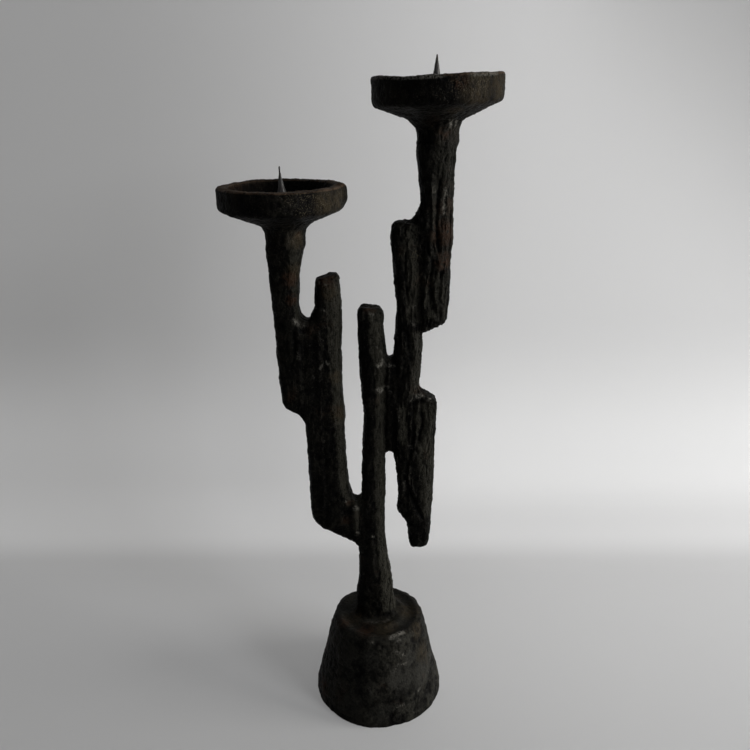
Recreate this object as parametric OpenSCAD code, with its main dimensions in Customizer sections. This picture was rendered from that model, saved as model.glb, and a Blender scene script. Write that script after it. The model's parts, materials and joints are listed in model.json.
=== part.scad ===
// Two-arm candlestick: rough iron bars welded side by side on a hollow cast base.
// The origin is the centre of the base on the table, +X is the right arm's side, +Y the back, +Z up.

/* [Base] */
// Diameter of the base on the table
base_d = 87.5; // [76:0.5:100]
// Diameter of the base at its top edge
base_top_d = 59; // [54:0.5:66]
// Height of the base's rim above the table
base_h = 61; // [45:0.5:80]
// Thickness of the base's tapered wall
base_wall = 6.5; // [4:0.5:8]
// Thickness of the base's roof under the rim
base_roof = 8; // [5:0.5:12]
// Radius of the soft edge round the base's top
base_edge_r = 4.5; // [2:0.5:6]
// Width of the ring that stands on the table
base_ring_w = 6; // [4:0.25:6.5]
// Depth of the round recess inside that ring
base_recess_depth = 3; // [1:0.5:6]
// Diameter of the raised seat under the centre bar
seat_d = 33; // [31:1:40]
// Height of the raised seat above the base's rim
seat_h = 0.5; // [0.5:0.5:4]
// Depth of the dish between the seat and the rim
base_dish = 1.5; // [0.5:0.5:3]

/* [Base screw] */
// Diameter of the screw that holds the centre bar
bolt_d = 8; // [5:1:10]
// Length of the screw under its head
bolt_len = 32; // [26:1:45]
// Width of the screw's hexagonal head across its flats
bolt_head_af = 13; // [12:1:17]
// Height of the screw's head
bolt_head_h = 5.3; // [4:0.1:7]
// Outer diameter of the plain washer
washer_d = 20; // [17:1:24]
// Thickness of the plain washer
washer_t = 1.6; // [1:0.1:2.5]
// Outer diameter of the split spring washer
lock_washer_d = 13.6; // [12.6:0.1:16]
// Thickness of the split spring washer
lock_washer_t = 2; // [1:0.1:3]
// Width of the spring washer's split
lock_washer_gap = 1.2; // [0.8:0.1:2]

/* [Centre bar] */
// Distance of the centre bar's middle to the left of the base's middle
centre_offset = 3.5; // [2:0.5:5]
// Width of the centre bar between its two arms
centre_w = 16; // [14:0.5:20]
// Thickness of the centre bar, front to back
centre_d = 15.5; // [13.5:0.5:20]
// Length of the centre bar
centre_len = 216.5; // [205:0.5:240]

/* [Left arm] */
// Height of the left arm's lowest point above the centre bar's foot
left_rise = 52.5; // [44:0.5:60]
// Width of the weld between the centre bar and the left arm
left_weld_w = 6; // [4:0.5:8]
// Length of that weld
left_weld_len = 35.5; // [30:0.5:42]
// Width of the inner bar at its foot
left_inner_w = 19.3; // [17:0.1:23]
// Length of the inner bar
left_inner_len = 184; // [174:0.5:200]
// Width of the middle bar between its neighbours
left_middle_w = 8.2; // [6:0.1:11]
// Length of the middle bar up to the bottom of the notch
left_middle_len = 156; // [146:0.5:164]
// Width of the outer bar
left_outer_w = 18; // [15:0.5:22]
// Length of the outer bar up to the pan's neck
left_outer_len = 105.5; // [94:0.5:125]
// Height of the outer bar's foot above the arm's lowest point
left_outer_rise = 94.5; // [80:0.5:105]
// Thickness of the left arm's bars, front to back
left_d = 14.5; // [12:0.5:18]

/* [Right arm] */
// Width of the weld web between the centre bar and the right arm
right_weld_w = 5.5; // [4:0.5:8]
// Length of that web
right_weld_len = 60.5; // [50:0.5:75]
// Height of the web's lower end above the centre bar's foot
right_rise = 123.5; // [112:0.5:135]
// Width of the long bar
right_long_w = 14.7; // [12.5:0.1:18]
// Length of the long bar
right_long_len = 190; // [180:0.5:205]
// Distance that the long bar reaches below the web
right_long_drop = 48; // [42:1:60]
// Width of the upper bar
right_upper_w = 18; // [15:0.5:22]
// Length of the upper bar up to the pan's neck
right_upper_len = 108.5; // [98:0.5:120]
// Height of the upper bar's foot above the web's lower end
right_upper_rise = 76.5; // [66:0.5:82]
// Width of the lower bar
right_lower_w = 17; // [15:0.5:21]
// Length of the lower bar
right_lower_len = 111; // [104:0.5:124]
// Distance that the lower bar reaches below the web
right_lower_drop = 69.5; // [62:0.5:80]
// Thickness of the right arm's bars, front to back
right_d = 15; // [12.5:0.5:18]

/* [Pans] */
// Outer diameter of each pan
pan_d = 70.6; // [64:0.2:80]
// Thickness of the wall round each pan's well
pan_wall = 6.3; // [5:0.1:9]
// Depth of the wells
well_depth = 8; // [5:0.5:9]
// Height of the left pan's outer band
left_band_h = 13.6; // [10:0.1:15]
// Height of the right pan's outer band
right_band_h = 14.6; // [10:0.1:15]
// Diameter of the necks under the pans
neck_d = 22; // [19:0.5:25]
// Height of the left pan's rim above the bar that carries it
left_pan_h = 33.5; // [30:0.1:40]
// Height of the right pan's rim above the bar that carries it
right_pan_h = 33.8; // [30:0.1:40]
// Slope of the pans' underside, in degrees
underside_slope = 21; // [12:1:24]
// Tilt of the left pan, its right side up, in degrees
left_tilt = 0.6; // [0:0.1:3]
// Tilt of the right pan, its right side up, in degrees
right_tilt = 2.7; // [0:0.1:3]

/* [Spikes] */
// Height of a spike above the well's floor
spike_h = 18.5; // [14:0.5:26]
// Diameter of a spike at the well's floor
spike_d = 7; // [6:0.1:9]
// Diameter of a spike's blunt tip
spike_tip_d = 0.8; // [0.5:0.1:1.2]
// Depth of a spike's round foot, which is let into the well's floor
spike_foot_depth = 1.5; // [1:0.25:3]
// Width of the foot round the spike
spike_foot_w = 0.5; // [0.5:0.1:1]
// Diameter of the shank below a spike
shank_d = 4; // [3:0.1:4.5]
// Length of the shank that enters the bar
shank_grip = 12; // [8:0.5:20]
// Lean of the left spike to the left, in degrees
left_lean = 7; // [0:1:10]

/* [Fits] */
// Gap round the base screw in its holes
bolt_gap = 0.15; // [0.05:0.05:0.5]
// Gap round the spikes' shanks
shank_gap = 0.1; // [0.05:0.05:0.3]
// Gap round the spikes' feet
spike_foot_gap = 0.1; // [0.05:0.05:0.3]
// Room past the end of a screw or shank in its hole
hole_room = 2; // [1:0.5:4]

/* [Hidden] */
$fn = 96;

// How far a cut runs past the face that it cuts
overrun = 1;
// Rounding of a bar's long edges, as a share of its width or thickness
edge_share = 0.34;
// Parts of each rounded corner of a bar
corner_steps = 4;
// Thickness of a weld bead
bead_d = 4.8;
// Thickness of the slim bead in the right arm's upper valley
slim_bead_d = 3.6;
// Depth of the middle of a bead below the bars' front
bead_sink = 2.1;
// Depth of the middle of the slim bead below the bars' front
slim_bead_sink = 3.2;
// Distance of a valley's lowest line from the edge of the bar that is fitted whole
valley_inset = 1.8;
// Thickness of a bead's ends, and of its ripples, as shares of its own thickness
bead_end_share = 0.4;
bead_ripple_share = 0.1;
// How soon a bead reaches its full thickness from its ends
bead_swell = 4;
// Sides of a bead, its rings and the ripples along it
bead_sides = 8;
bead_rings = 18;
bead_waves = 6;
// Heights of the beads' lower ends, as shares of the length of the shorter bar beside them
left_outer_bead_share = 0.06;
left_inner_bead_share = 0.17;
right_upper_bead_share = 0.05;
right_lower_bead_share = 0.24;
// Place of the right arm's lower bead across the long bar at its lower end, as a share
right_lower_bead_place_share = 0.62;
// Radius of the rounding at the pans' rim
rim_r = 1.2;
// Radius of the rounding under the pans' band
band_r = 3;
// Inward lean of the pans' band from the rim down
band_lean = 0.3;
// Radius of the fillet between a pan's underside and its neck
neck_fillet_r = 9;
// Radius of the fillet at the bottom of a well
well_fillet_r = 4;
// Inward lean of a well's wall from the rim down
well_lean = 1;
// Distance of the left pan's neck to the right of its dish
left_neck_shift = 1.4;
// Distance of the right pan's neck to the left of its dish
right_neck_shift = 0.3;
// Width of the small bevel at the base's foot
base_bevel = 1;
// Radius of the rounding inside the hollow base, under its roof
roof_fillet_r = 5;
// Places of the necks across the bars that carry them, as shares of those bars' widths
left_neck_share = 0.57;
right_neck_share = 0.36;
// How far the lower bar starts inside the long bar, as a share of the long bar's width
right_lower_inset_share = 0.37;

// Levels, from the table up
foot_z = base_h + seat_h;
left_z = foot_z + left_rise;
left_outer_z = left_z + left_outer_rise;
left_seat = left_outer_z + left_outer_len;
notch_z = left_z + left_middle_len;
right_z = foot_z + right_rise;
right_long_z = right_z - right_long_drop;
right_long_top = right_long_z + right_long_len;
right_upper_z = right_z + right_upper_rise;
right_seat = right_upper_z + right_upper_len;
right_lower_z = right_z - right_lower_drop;
right_lower_top = right_lower_z + right_lower_len;
roof_z = base_h - base_roof;
spike_foot_r = spike_d / 2 + spike_foot_w;

// Edges of the bars, from the centre bar outwards
centre_left = -centre_offset - centre_w / 2;
centre_right = centre_left + centre_w;
left_inner_right = centre_left - left_weld_w;
left_inner_left = left_inner_right - left_inner_w;
left_middle_left = left_inner_left - left_middle_w;
left_outer_left = left_middle_left - left_outer_w;
right_long_left = centre_right + right_weld_w;
right_long_right = right_long_left + right_long_w;
right_lower_left = right_long_right - right_long_w * right_lower_inset_share;

// Middles of the necks and dishes of the pans
left_neck_x = left_outer_left + left_outer_w * left_neck_share;
left_pan_x = left_neck_x - left_neck_shift;
right_neck_x = right_long_right + right_upper_w * right_neck_share;
right_pan_x = right_neck_x + right_neck_shift;

// Shapes of the bars. Each row is one section from the bottom up: the heights of its left and
// right edges as shares of the bar's length, the places of those edges as shares of the bar's
// width, and its thickness as a share of the arm's thickness. A bar that is fitted round its
// neighbour has an edge inside that neighbour, which is cut out of it.
centre_shares = [
    [0, 0, -0.21, 1.46, 1],
    [0.016, 0.016, -0.21, 1.42, 0.95],
    [0.04, 0.04, -0.2, 1.38, 0.88],
    [0.085, 0.085, -0.175, 1.33, 0.86],
    [0.12, 0.12, -0.1, 1.29, 0.86],
    [0.18, 0.18, -0.05, 1.17, 0.88],
    [0.235, 0.235, -0.07, 1.06, 0.92],
    [0.3, 0.3, 0.02, 0.98, 0.95],
    [0.41, 0.41, 0.08, 0.98, 0.97],
    [0.46, 0.46, 0.09, 1, 1],
    [0.57, 0.57, 0.12, 0.98, 1],
    [0.67, 0.67, 0.19, 1, 1],
    [0.765, 0.765, 0.1, 1, 0.97],
    [0.85, 0.85, 0.02, 1.06, 0.95],
    [0.89, 0.89, 0, 0.98, 0.95],
    [0.945, 0.945, -0.02, 0.9, 0.93],
    [0.975, 0.975, -0.02, 0.93, 0.95],
    [0.99, 0.99, -0.01, 0.88, 0.9],
    [1, 1, 0.08, 0.78, 0.7]
];
left_inner_shares = [
    [0.092, 0.037, 0.04, 0.97, 0.75],
    [0.106, 0.055, 0, 1.02, 0.95],
    [0.215, 0.215, 0, 1.02, 1],
    [0.235, 0.235, 0, 0.96, 1],
    [0.27, 0.27, 0, 0.91, 0.98],
    [0.37, 0.37, 0, 0.83, 1],
    [0.52, 0.52, 0, 0.83, 1],
    [0.575, 0.575, 0, 0.79, 1],
    [0.665, 0.665, 0, 0.745, 0.98],
    [0.84, 0.84, 0, 0.79, 0.95],
    [0.86, 0.86, -0.15, 0.785, 0.95],
    [0.877, 0.877, -0.05, 0.785, 0.95],
    [0.895, 0.895, 0, 0.78, 0.96],
    [0.965, 0.97, 0.015, 0.75, 1],
    [0.978, 0.988, 0.03, 0.73, 0.93],
    [0.985, 1, 0.09, 0.63, 0.75]
];
left_middle_shares = [
    [0.148, 0.085, 0.34, 1.45, 0.75],
    [0.17, 0.105, 0.26, 1.45, 0.92],
    [0.21, 0.19, 0.23, 1.45, 0.95],
    [0.28, 0.28, 0.17, 1.45, 0.96],
    [0.43, 0.43, 0.12, 1.45, 0.97],
    [0.51, 0.51, 0.04, 1.45, 0.97],
    [0.585, 0.585, -0.02, 1.45, 0.97],
    [0.615, 0.615, -0.4, 1.45, 0.96],
    [0.97, 0.97, -0.45, 1.45, 0.93],
    [1, 1, -0.4, 1.4, 0.75]
];
left_outer_shares = [
    [0.066, 0.018, 0.32, 0.9, 0.75],
    [0.09, 0.042, 0.26, 0.97, 0.93],
    [0.14, 0.13, 0.23, 1, 1],
    [0.23, 0.23, 0.19, 1, 0.98],
    [0.48, 0.48, 0.13, 1, 0.97],
    [0.58, 0.58, 0.1, 1, 1],
    [0.615, 0.615, 0.09, 0.95, 1],
    [0.68, 0.68, 0.07, 0.9, 1.02],
    [0.735, 0.735, 0.055, 0.93, 1.04],
    [0.875, 0.875, 0.02, 1, 1.15],
    [1, 1, -0.03, 1.17, 1.5]
];
right_long_shares = [
    [0.024, 0.004, 0.24, 0.55, 0.72],
    [0.037, 0.022, 0.17, 0.61, 0.92],
    [0.07, 0.07, 0.23, 0.64, 0.95],
    [0.125, 0.125, 0.19, 0.69, 0.97],
    [0.18, 0.18, 0.1, 0.735, 1],
    [0.235, 0.235, 0.02, 0.78, 1],
    [0.33, 0.33, 0, 0.86, 1],
    [0.465, 0.465, -0.01, 0.97, 1],
    [0.52, 0.52, -0.02, 1.02, 0.98],
    [0.585, 0.585, -0.03, 1.07, 0.95],
    [0.64, 0.64, 0.04, 1.11, 0.96],
    [0.675, 0.675, 0.08, 1.08, 0.97],
    [0.75, 0.75, 0.06, 1, 1],
    [0.815, 0.815, 0, 1, 1],
    [0.89, 0.89, -0.08, 1, 1],
    [0.95, 0.95, -0.17, 1, 1],
    [0.98, 0.98, -0.17, 1, 0.95],
    [0.994, 0.994, -0.1, 0.98, 0.85],
    [1, 1, -0.02, 0.93, 0.72]
];
right_upper_shares = [
    [0.012, 0.066, -0.02, 0.8, 0.72],
    [0.025, 0.083, -0.12, 0.855, 0.92],
    [0.115, 0.115, -0.09, 0.885, 1],
    [0.215, 0.215, -0.09, 0.91, 1.03],
    [0.405, 0.405, -0.09, 0.93, 1],
    [0.54, 0.54, -0.09, 0.96, 1],
    [0.6, 0.6, -0.16, 0.96, 0.98],
    [0.622, 0.622, -0.26, 0.955, 0.95],
    [0.648, 0.648, -0.12, 0.955, 0.98],
    [0.705, 0.705, 0, 0.94, 1.02],
    [0.755, 0.755, -0.03, 0.94, 1.04],
    [0.82, 0.82, -0.1, 0.945, 1.06],
    [0.905, 0.905, -0.15, 0.98, 1.14],
    [1, 1, -0.19, 0.99, 1.45]
];
right_lower_shares = [
    [0, 0, 0.15, 0.72, 0.72],
    [0.02, 0.02, 0.1, 0.79, 0.92],
    [0.1, 0.1, 0.05, 0.845, 1],
    [0.17, 0.17, -0.04, 0.86, 1],
    [0.212, 0.212, -0.2, 0.88, 1],
    [0.43, 0.43, -0.1, 0.92, 1.03],
    [0.6, 0.6, -0.03, 0.94, 1.03],
    [0.76, 0.76, 0.02, 0.96, 1.02],
    [0.875, 0.875, 0.08, 0.97, 1],
    [0.965, 0.93, 0.12, 0.95, 0.94],
    [0.992, 0.952, 0.16, 0.83, 0.75]
];
left_weld_shares = [
    [0.24, -0.04, -0.6, 1.6, 0.55],
    [0.29, 0.03, -0.6, 1.6, 0.84],
    [0.5, 0.48, -0.6, 1.6, 0.93],
    [0.92, 0.92, -0.6, 1.6, 0.88],
    [1, 1, -0.6, 1.6, 0.68]
];
right_weld_shares = [
    [0.012, 0.012, -0.6, 1.6, 0.45],
    [0.06, 0.06, -0.6, 1.6, 0.68],
    [0.5, 0.5, -0.6, 1.6, 0.74],
    [0.93, 0.93, -0.6, 1.6, 0.84],
    [1, 1, -0.6, 1.6, 0.62]
];

// Points along an arc, from one angle to another
function arc(x, y, r, from, to, steps = 6) = [
    for (i = [0:steps])
        let (a = from + (to - from) * i / steps)
            [x + r * cos(a), y + r * sin(a)]
];

// Points round one section of a bar: a rounded rectangle that follows the section's slant
function section(row, x0, w, z0, len, thick) =
    let (
        left = x0 + w * row[2],
        right = x0 + w * row[3],
        half_w = (right - left) / 2,
        half_d = thick * row[4] / 2,
        rx = half_w * 2 * edge_share,
        ry = half_d * 2 * edge_share
    )
    [
        for (q = [0:3], i = [0:corner_steps])
            let (
                a = 90 * (q + i / corner_steps),
                side = (q == 0 || q == 3) ? 1 : -1,
                face = q < 2 ? 1 : -1,
                x = left + half_w + side * (half_w - rx) + rx * cos(a),
                y = face * (half_d - ry) + ry * sin(a),
                across = (x - left) / (right - left)
            )
            [x, y, z0 + len * (row[0] + (row[1] - row[0]) * across)]
    ];

// A closed skin over rings of points that have the same number of points each
module skin(rings) {
    n = len(rings[0]);
    m = len(rings);
    sides = [
        for (j = [0:m - 2], i = [0:n - 1])
            let (k = (i + 1) % n)
                each [
                    [j * n + i, (j + 1) * n + k, j * n + k],
                    [j * n + i, (j + 1) * n + i, (j + 1) * n + k]
                ]
    ];
    bottom = [for (i = [0:n - 1]) i];
    top = [for (i = [n - 1:-1:0]) (m - 1) * n + i];
    polyhedron([for (ring = rings) each ring], concat([bottom, top], sides));
}

// A rough bar through all the rows of its table
module bar(shares, x0, w, z0, len, thick) {
    skin([for (row = shares) section(row, x0, w, z0, len, thick)]);
}

module centre_blank() {
    bar(centre_shares, centre_left, centre_w, foot_z, centre_len, centre_d);
}

module left_inner_blank() {
    bar(left_inner_shares, left_inner_left, left_inner_w, left_z, left_inner_len, left_d);
}

module left_middle_blank() {
    bar(left_middle_shares, left_middle_left, left_middle_w, left_z, left_middle_len, left_d);
}

module left_outer_blank() {
    bar(left_outer_shares, left_outer_left, left_outer_w, left_outer_z, left_outer_len, left_d);
}

module right_long_blank() {
    bar(right_long_shares, right_long_left, right_long_w, right_long_z, right_long_len, right_d);
}

module right_upper_blank() {
    bar(right_upper_shares, right_long_right, right_upper_w, right_upper_z, right_upper_len, right_d);
}

module right_lower_blank() {
    bar(right_lower_shares, right_lower_left, right_lower_w, right_lower_z, right_lower_len, right_d);
}

// The hole in a bar's top that takes a spike's shank
module shank_hole(x, seat) {
    depth = shank_grip + hole_room;
    translate([x, 0, seat - depth]) cylinder(d = shank_d + 2 * shank_gap, h = depth + overrun);
}

// One bead of weld from its lower to its upper end, swelling and shrinking along the way
module bead(low_x, low_z, high_x, high_z, y, d) {
    skin([
        for (j = [0:bead_rings])
            let (
                t = j / bead_rings,
                fade = min(1, bead_end_share + bead_swell * sin(180 * t)),
                r = d / 2 * fade * (1 + bead_ripple_share * sin(360 * bead_waves * t))
            )
            [
                for (i = [0:bead_sides - 1])
                    let (
                        a = 360 * i / bead_sides,
                        x = low_x + (high_x - low_x) * t + r * cos(a)
                    )
                    [x, y + r * sin(a), low_z + (high_z - low_z) * t]
            ]
    ]);
}

module base() {
    r0 = base_d / 2;
    r1 = base_top_d / 2;
    lean = atan((r0 - r1) / base_h);
    // Middle of the soft edge, which touches the tapered side and the level of the rim
    edge_x = r1 + base_edge_r * (tan(lean) - 1 / cos(lean));
    edge_z = base_h - base_edge_r;
    seat_r = seat_d / 2;
    dish_steps = 10;
    outside = concat(
        [[r0 - base_ring_w, 0], [r0 - base_bevel, 0], [r0 - base_bevel * tan(lean), base_bevel]],
        arc(edge_x, edge_z, base_edge_r, lean, 90),
        [
            for (i = [1:dish_steps])
                let (t = 1 - i / dish_steps)
                    [
                        seat_r + (edge_x - seat_r) * t,
                        base_h + seat_h * (1 + cos(180 * t)) / 2 - base_dish * sin(180 * t)
                    ]
        ]
    );
    inner_foot = r0 - base_wall / cos(lean) - base_recess_depth * tan(lean);
    inner_top = r0 - base_wall / cos(lean) - roof_z * tan(lean);
    fillet_x = inner_top + roof_fillet_r * (tan(lean) - 1 / cos(lean));
    inside = concat(
        [[0, base_h + seat_h], [0, roof_z]],
        arc(fillet_x, roof_z - roof_fillet_r, roof_fillet_r, 90, lean),
        [[inner_foot, base_recess_depth], [r0 - base_ring_w, base_recess_depth]]
    );
    color("#2b2826")
        difference() {
            rotate_extrude() polygon(concat(outside, inside));
            translate([0, 0, roof_z - overrun])
                cylinder(d = bolt_d + 2 * bolt_gap, h = base_roof + seat_h + 2 * overrun);
        }
}

module base_washer() {
    color("#6f6d6a")
        translate([0, 0, roof_z - washer_t])
            difference() {
                cylinder(d = washer_d, h = washer_t);
                translate([0, 0, -overrun])
                    cylinder(d = bolt_d + 2 * bolt_gap, h = washer_t + 2 * overrun);
            }
}

module base_lock_washer() {
    color("#6f6d6a")
        translate([0, 0, roof_z - washer_t - lock_washer_t])
            difference() {
                cylinder(d = lock_washer_d, h = lock_washer_t);
                translate([0, 0, -overrun])
                    cylinder(d = bolt_d + 2 * bolt_gap, h = lock_washer_t + 2 * overrun);
                translate([0, -lock_washer_gap / 2, -overrun])
                    cube([lock_washer_d, lock_washer_gap, lock_washer_t + 2 * overrun]);
            }
}

module base_bolt() {
    under_head = roof_z - washer_t - lock_washer_t;
    tip_bevel = bolt_d / 8;
    color("#6f6d6a")
        union() {
            translate([0, 0, under_head - bolt_head_h])
                cylinder(d = bolt_head_af / cos(30), h = bolt_head_h, $fn = 6);
            translate([0, 0, under_head]) cylinder(d = bolt_d, h = bolt_len - tip_bevel);
            translate([0, 0, under_head + bolt_len - tip_bevel])
                cylinder(d1 = bolt_d, d2 = bolt_d - 2 * tip_bevel, h = tip_bevel);
        }
}

module centre_bar() {
    bolt_top = roof_z - washer_t - lock_washer_t + bolt_len;
    color("#262322")
        difference() {
            centre_blank();
            translate([0, 0, foot_z - overrun])
                cylinder(d = bolt_d + 2 * bolt_gap, h = bolt_top + hole_room - foot_z + overrun);
        }
}

module left_outer_bar() {
    color("#2a2625")
        difference() {
            left_outer_blank();
            shank_hole(left_neck_x, left_seat);
        }
}

module left_middle_bar() {
    color("#242120")
        difference() {
            left_middle_blank();
            left_outer_blank();
            left_inner_blank();
        }
}

module left_inner_bar() {
    color("#2b2725") left_inner_blank();
}

module right_long_bar() {
    color("#272423") right_long_blank();
}

module right_upper_bar() {
    color("#2c2624")
        difference() {
            right_upper_blank();
            right_long_blank();
            shank_hole(right_neck_x, right_seat);
        }
}

module right_lower_bar() {
    color("#282524")
        difference() {
            right_lower_blank();
            right_long_blank();
        }
}

// The dish of a pan on its own axis, with its rim at height zero
module dish(band_h) {
    r = pan_d / 2;
    well_r = r - pan_wall;
    s = underside_slope;
    // Middle of the rounding under the band, which touches the band and the sloping underside
    round_x = r - band_lean - band_r;
    round_z = band_r - band_h;
    under_x = round_x + band_r * sin(s);
    under_z = round_z - band_r * cos(s);
    floor_x = well_r - well_lean - well_fillet_r;
    rotate_extrude()
        polygon(concat(
            [[0, -well_depth], [0, under_z - under_x * tan(s)]],
            arc(round_x, round_z, band_r, s - 90, 0),
            arc(r - rim_r, -rim_r, rim_r, 0, 90, 4),
            arc(well_r + rim_r, -rim_r, rim_r, 90, 180, 4),
            arc(floor_x, well_fillet_r - well_depth, well_fillet_r, 0, -90)
        ));
}

// The neck of a pan, from below its seat into the dish, with the rim at height zero
module neck(band_h, pan_h) {
    s = underside_slope;
    neck_r = neck_d / 2;
    round_x = pan_d / 2 - band_lean - band_r;
    // Height of the sloping underside where it would meet the neck
    meet_z = band_r - band_h - band_r * cos(s) - (round_x + band_r * sin(s) - neck_r) * tan(s);
    fillet_z = meet_z - neck_fillet_r * (1 - sin(s)) / cos(s);
    root_z = (meet_z - well_depth) / 2;
    rotate_extrude()
        polygon(concat(
            [[0, -pan_h - overrun], [neck_r, -pan_h - overrun]],
            arc(neck_r + neck_fillet_r, fillet_z, neck_fillet_r, 180, 90 + s),
            [[neck_r + neck_fillet_r * (1 - sin(s)), root_z], [0, root_z]]
        ));
}

// Height of a pan's tilted floor at its neck's middle
function floor_z(dish_x, neck_x, seat, pan_h, tilt) =
    seat + pan_h + (neck_x - dish_x) * tan(tilt) - well_depth / cos(tilt);

// A pan whose neck is cut level where it stands on its bar
module pan(dish_x, neck_x, seat, band_h, pan_h, tilt) {
    color("#2e2725")
        difference() {
            union() {
                translate([dish_x, 0, seat + pan_h]) rotate([0, -tilt, 0]) dish(band_h);
                translate([neck_x, 0, seat + pan_h]) rotate([0, -tilt, 0]) neck(band_h, pan_h);
            }
            translate([neck_x - neck_d, -neck_d, seat - 3 * overrun])
                cube([2 * neck_d, 2 * neck_d, 3 * overrun]);
            translate([neck_x, 0, seat - overrun])
                cylinder(d = shank_d + 2 * shank_gap, h = pan_h + 2 * overrun);
            translate([neck_x, 0, floor_z(dish_x, neck_x, seat, pan_h, tilt)])
                rotate([0, -tilt, 0])
                    translate([0, 0, -spike_foot_depth])
                        cylinder(r = spike_foot_r + spike_foot_gap, h = spike_foot_depth + overrun);
        }
}

module left_pan() {
    pan(left_pan_x, left_neck_x, left_seat, left_band_h, left_pan_h, left_tilt);
}

module right_pan() {
    pan(right_pan_x, right_neck_x, right_seat, right_band_h, right_pan_h, right_tilt);
}

// A spike on a round foot in the well's floor, with its straight shank through the pan into the bar
module spike(dish_x, neck_x, seat, pan_h, tilt, lean) {
    foot_top = floor_z(dish_x, neck_x, seat, pan_h, tilt);
    shank_z = seat - shank_grip;
    color("#55585a")
        union() {
            translate([neck_x, 0, shank_z]) cylinder(d = shank_d, h = foot_top - spike_foot_depth / 2 - shank_z);
            translate([neck_x, 0, foot_top])
                rotate([0, -tilt, 0])
                    translate([0, 0, -spike_foot_depth]) cylinder(r = spike_foot_r, h = spike_foot_depth);
            translate([neck_x, 0, foot_top])
                rotate([0, -lean, 0])
                    translate([0, 0, -overrun])
                        cylinder(
                            d1 = spike_d + (spike_d - spike_tip_d) * overrun / spike_h,
                            d2 = spike_tip_d,
                            h = spike_h + overrun
                        );
        }
}

module left_spike() {
    spike(left_pan_x, left_neck_x, left_seat, left_pan_h, left_tilt, left_lean);
}

module right_spike() {
    spike(right_pan_x, right_neck_x, right_seat, right_pan_h, right_tilt, 0);
}

module left_arm_weld() {
    color("#35302c")
        difference() {
            bar(left_weld_shares, left_inner_right, left_weld_w, left_z, left_weld_len, left_d);
            centre_blank();
            left_inner_blank();
        }
}

module right_arm_weld() {
    color("#2a2725")
        difference() {
            bar(right_weld_shares, centre_right, right_weld_w, right_z, right_weld_len, right_d);
            centre_blank();
            right_long_blank();
        }
}

// The beads lie in the front valley, with face -1, or in the back one, with face 1
module left_outer_weld(face) {
    x = left_middle_left - valley_inset;
    low_z = left_outer_z + left_outer_len * left_outer_bead_share;
    color("#35302c")
        difference() {
            bead(x, low_z, x, notch_z, face * (left_d / 2 - bead_sink), bead_d);
            left_outer_blank();
            left_middle_blank();
        }
}

module left_inner_weld(face) {
    x = left_inner_left + valley_inset;
    low_z = left_z + left_middle_len * left_inner_bead_share;
    color("#35302c")
        difference() {
            bead(x, low_z, x, notch_z, face * (left_d / 2 - bead_sink), bead_d);
            left_inner_blank();
            left_middle_blank();
        }
}

module right_upper_weld(face) {
    low_z = right_upper_z + right_upper_len * right_upper_bead_share;
    color("#35302c")
        difference() {
            bead(
                right_long_right, low_z, right_long_right, right_long_top,
                face * (right_d / 2 - slim_bead_sink), slim_bead_d
            );
            right_long_blank();
            right_upper_blank();
        }
}

module right_lower_weld(face) {
    low_x = right_long_left + right_long_w * right_lower_bead_place_share;
    low_z = right_lower_z + right_lower_len * right_lower_bead_share;
    color("#35302c")
        difference() {
            bead(
                low_x, low_z, right_long_right, right_lower_top,
                face * (right_d / 2 - bead_sink), bead_d
            );
            right_long_blank();
            right_lower_blank();
        }
}

base();
base_bolt();
base_washer();
base_lock_washer();
centre_bar();
left_outer_bar();
left_middle_bar();
left_inner_bar();
right_long_bar();
right_upper_bar();
right_lower_bar();
left_pan();
right_pan();
left_spike();
right_spike();
left_arm_weld();
left_outer_weld(-1);  // left_outer_weld_front
left_outer_weld(1);  // left_outer_weld_back
left_inner_weld(-1);  // left_inner_weld_front
left_inner_weld(1);  // left_inner_weld_back
right_arm_weld();
right_upper_weld(-1);  // right_upper_weld_front
right_upper_weld(1);  // right_upper_weld_back
right_lower_weld(-1);  // right_lower_weld_front
right_lower_weld(1);  // right_lower_weld_back
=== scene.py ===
import json
import math
from collections import namedtuple

import bmesh
import bpy
from mathutils import Matrix, Vector, kdtree, noise


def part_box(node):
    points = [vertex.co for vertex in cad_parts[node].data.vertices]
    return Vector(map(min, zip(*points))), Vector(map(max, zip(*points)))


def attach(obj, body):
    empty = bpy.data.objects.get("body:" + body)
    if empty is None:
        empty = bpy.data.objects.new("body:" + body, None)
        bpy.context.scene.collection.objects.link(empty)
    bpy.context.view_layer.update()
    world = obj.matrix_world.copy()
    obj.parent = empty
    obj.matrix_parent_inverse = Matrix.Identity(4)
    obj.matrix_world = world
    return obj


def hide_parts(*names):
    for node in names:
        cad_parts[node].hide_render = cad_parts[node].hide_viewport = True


# The welded iron candlestick. The frame's solids are melted into one skin, which is hammered and
# grooved as a whole, and that skin is then cut along the weld lines into one piece for each solid.
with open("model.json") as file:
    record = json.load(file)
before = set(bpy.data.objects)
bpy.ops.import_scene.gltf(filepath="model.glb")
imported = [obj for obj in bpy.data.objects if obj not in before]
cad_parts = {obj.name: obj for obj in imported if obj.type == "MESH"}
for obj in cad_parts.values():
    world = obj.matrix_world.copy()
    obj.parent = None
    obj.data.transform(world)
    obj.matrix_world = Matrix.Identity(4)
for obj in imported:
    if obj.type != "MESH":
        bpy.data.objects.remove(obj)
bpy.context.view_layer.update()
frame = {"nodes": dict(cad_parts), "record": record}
NODES = frame["nodes"]
BODY = "root"
MM = 0.001

# Blender's noise vectors differ from run to run unless they get a seed
NOISE_SEED = 1
noise.seed_set(NOISE_SEED)

# Camera of the photograph, in millimetres and degrees
CAMERA_PLACE = (-1.85, -425.6, 396.0)
CAMERA_TILT = 69.26
CAMERA_ROLL = -0.177
CAMERA_LENS = 35.93
SENSOR = 36.0

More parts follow.
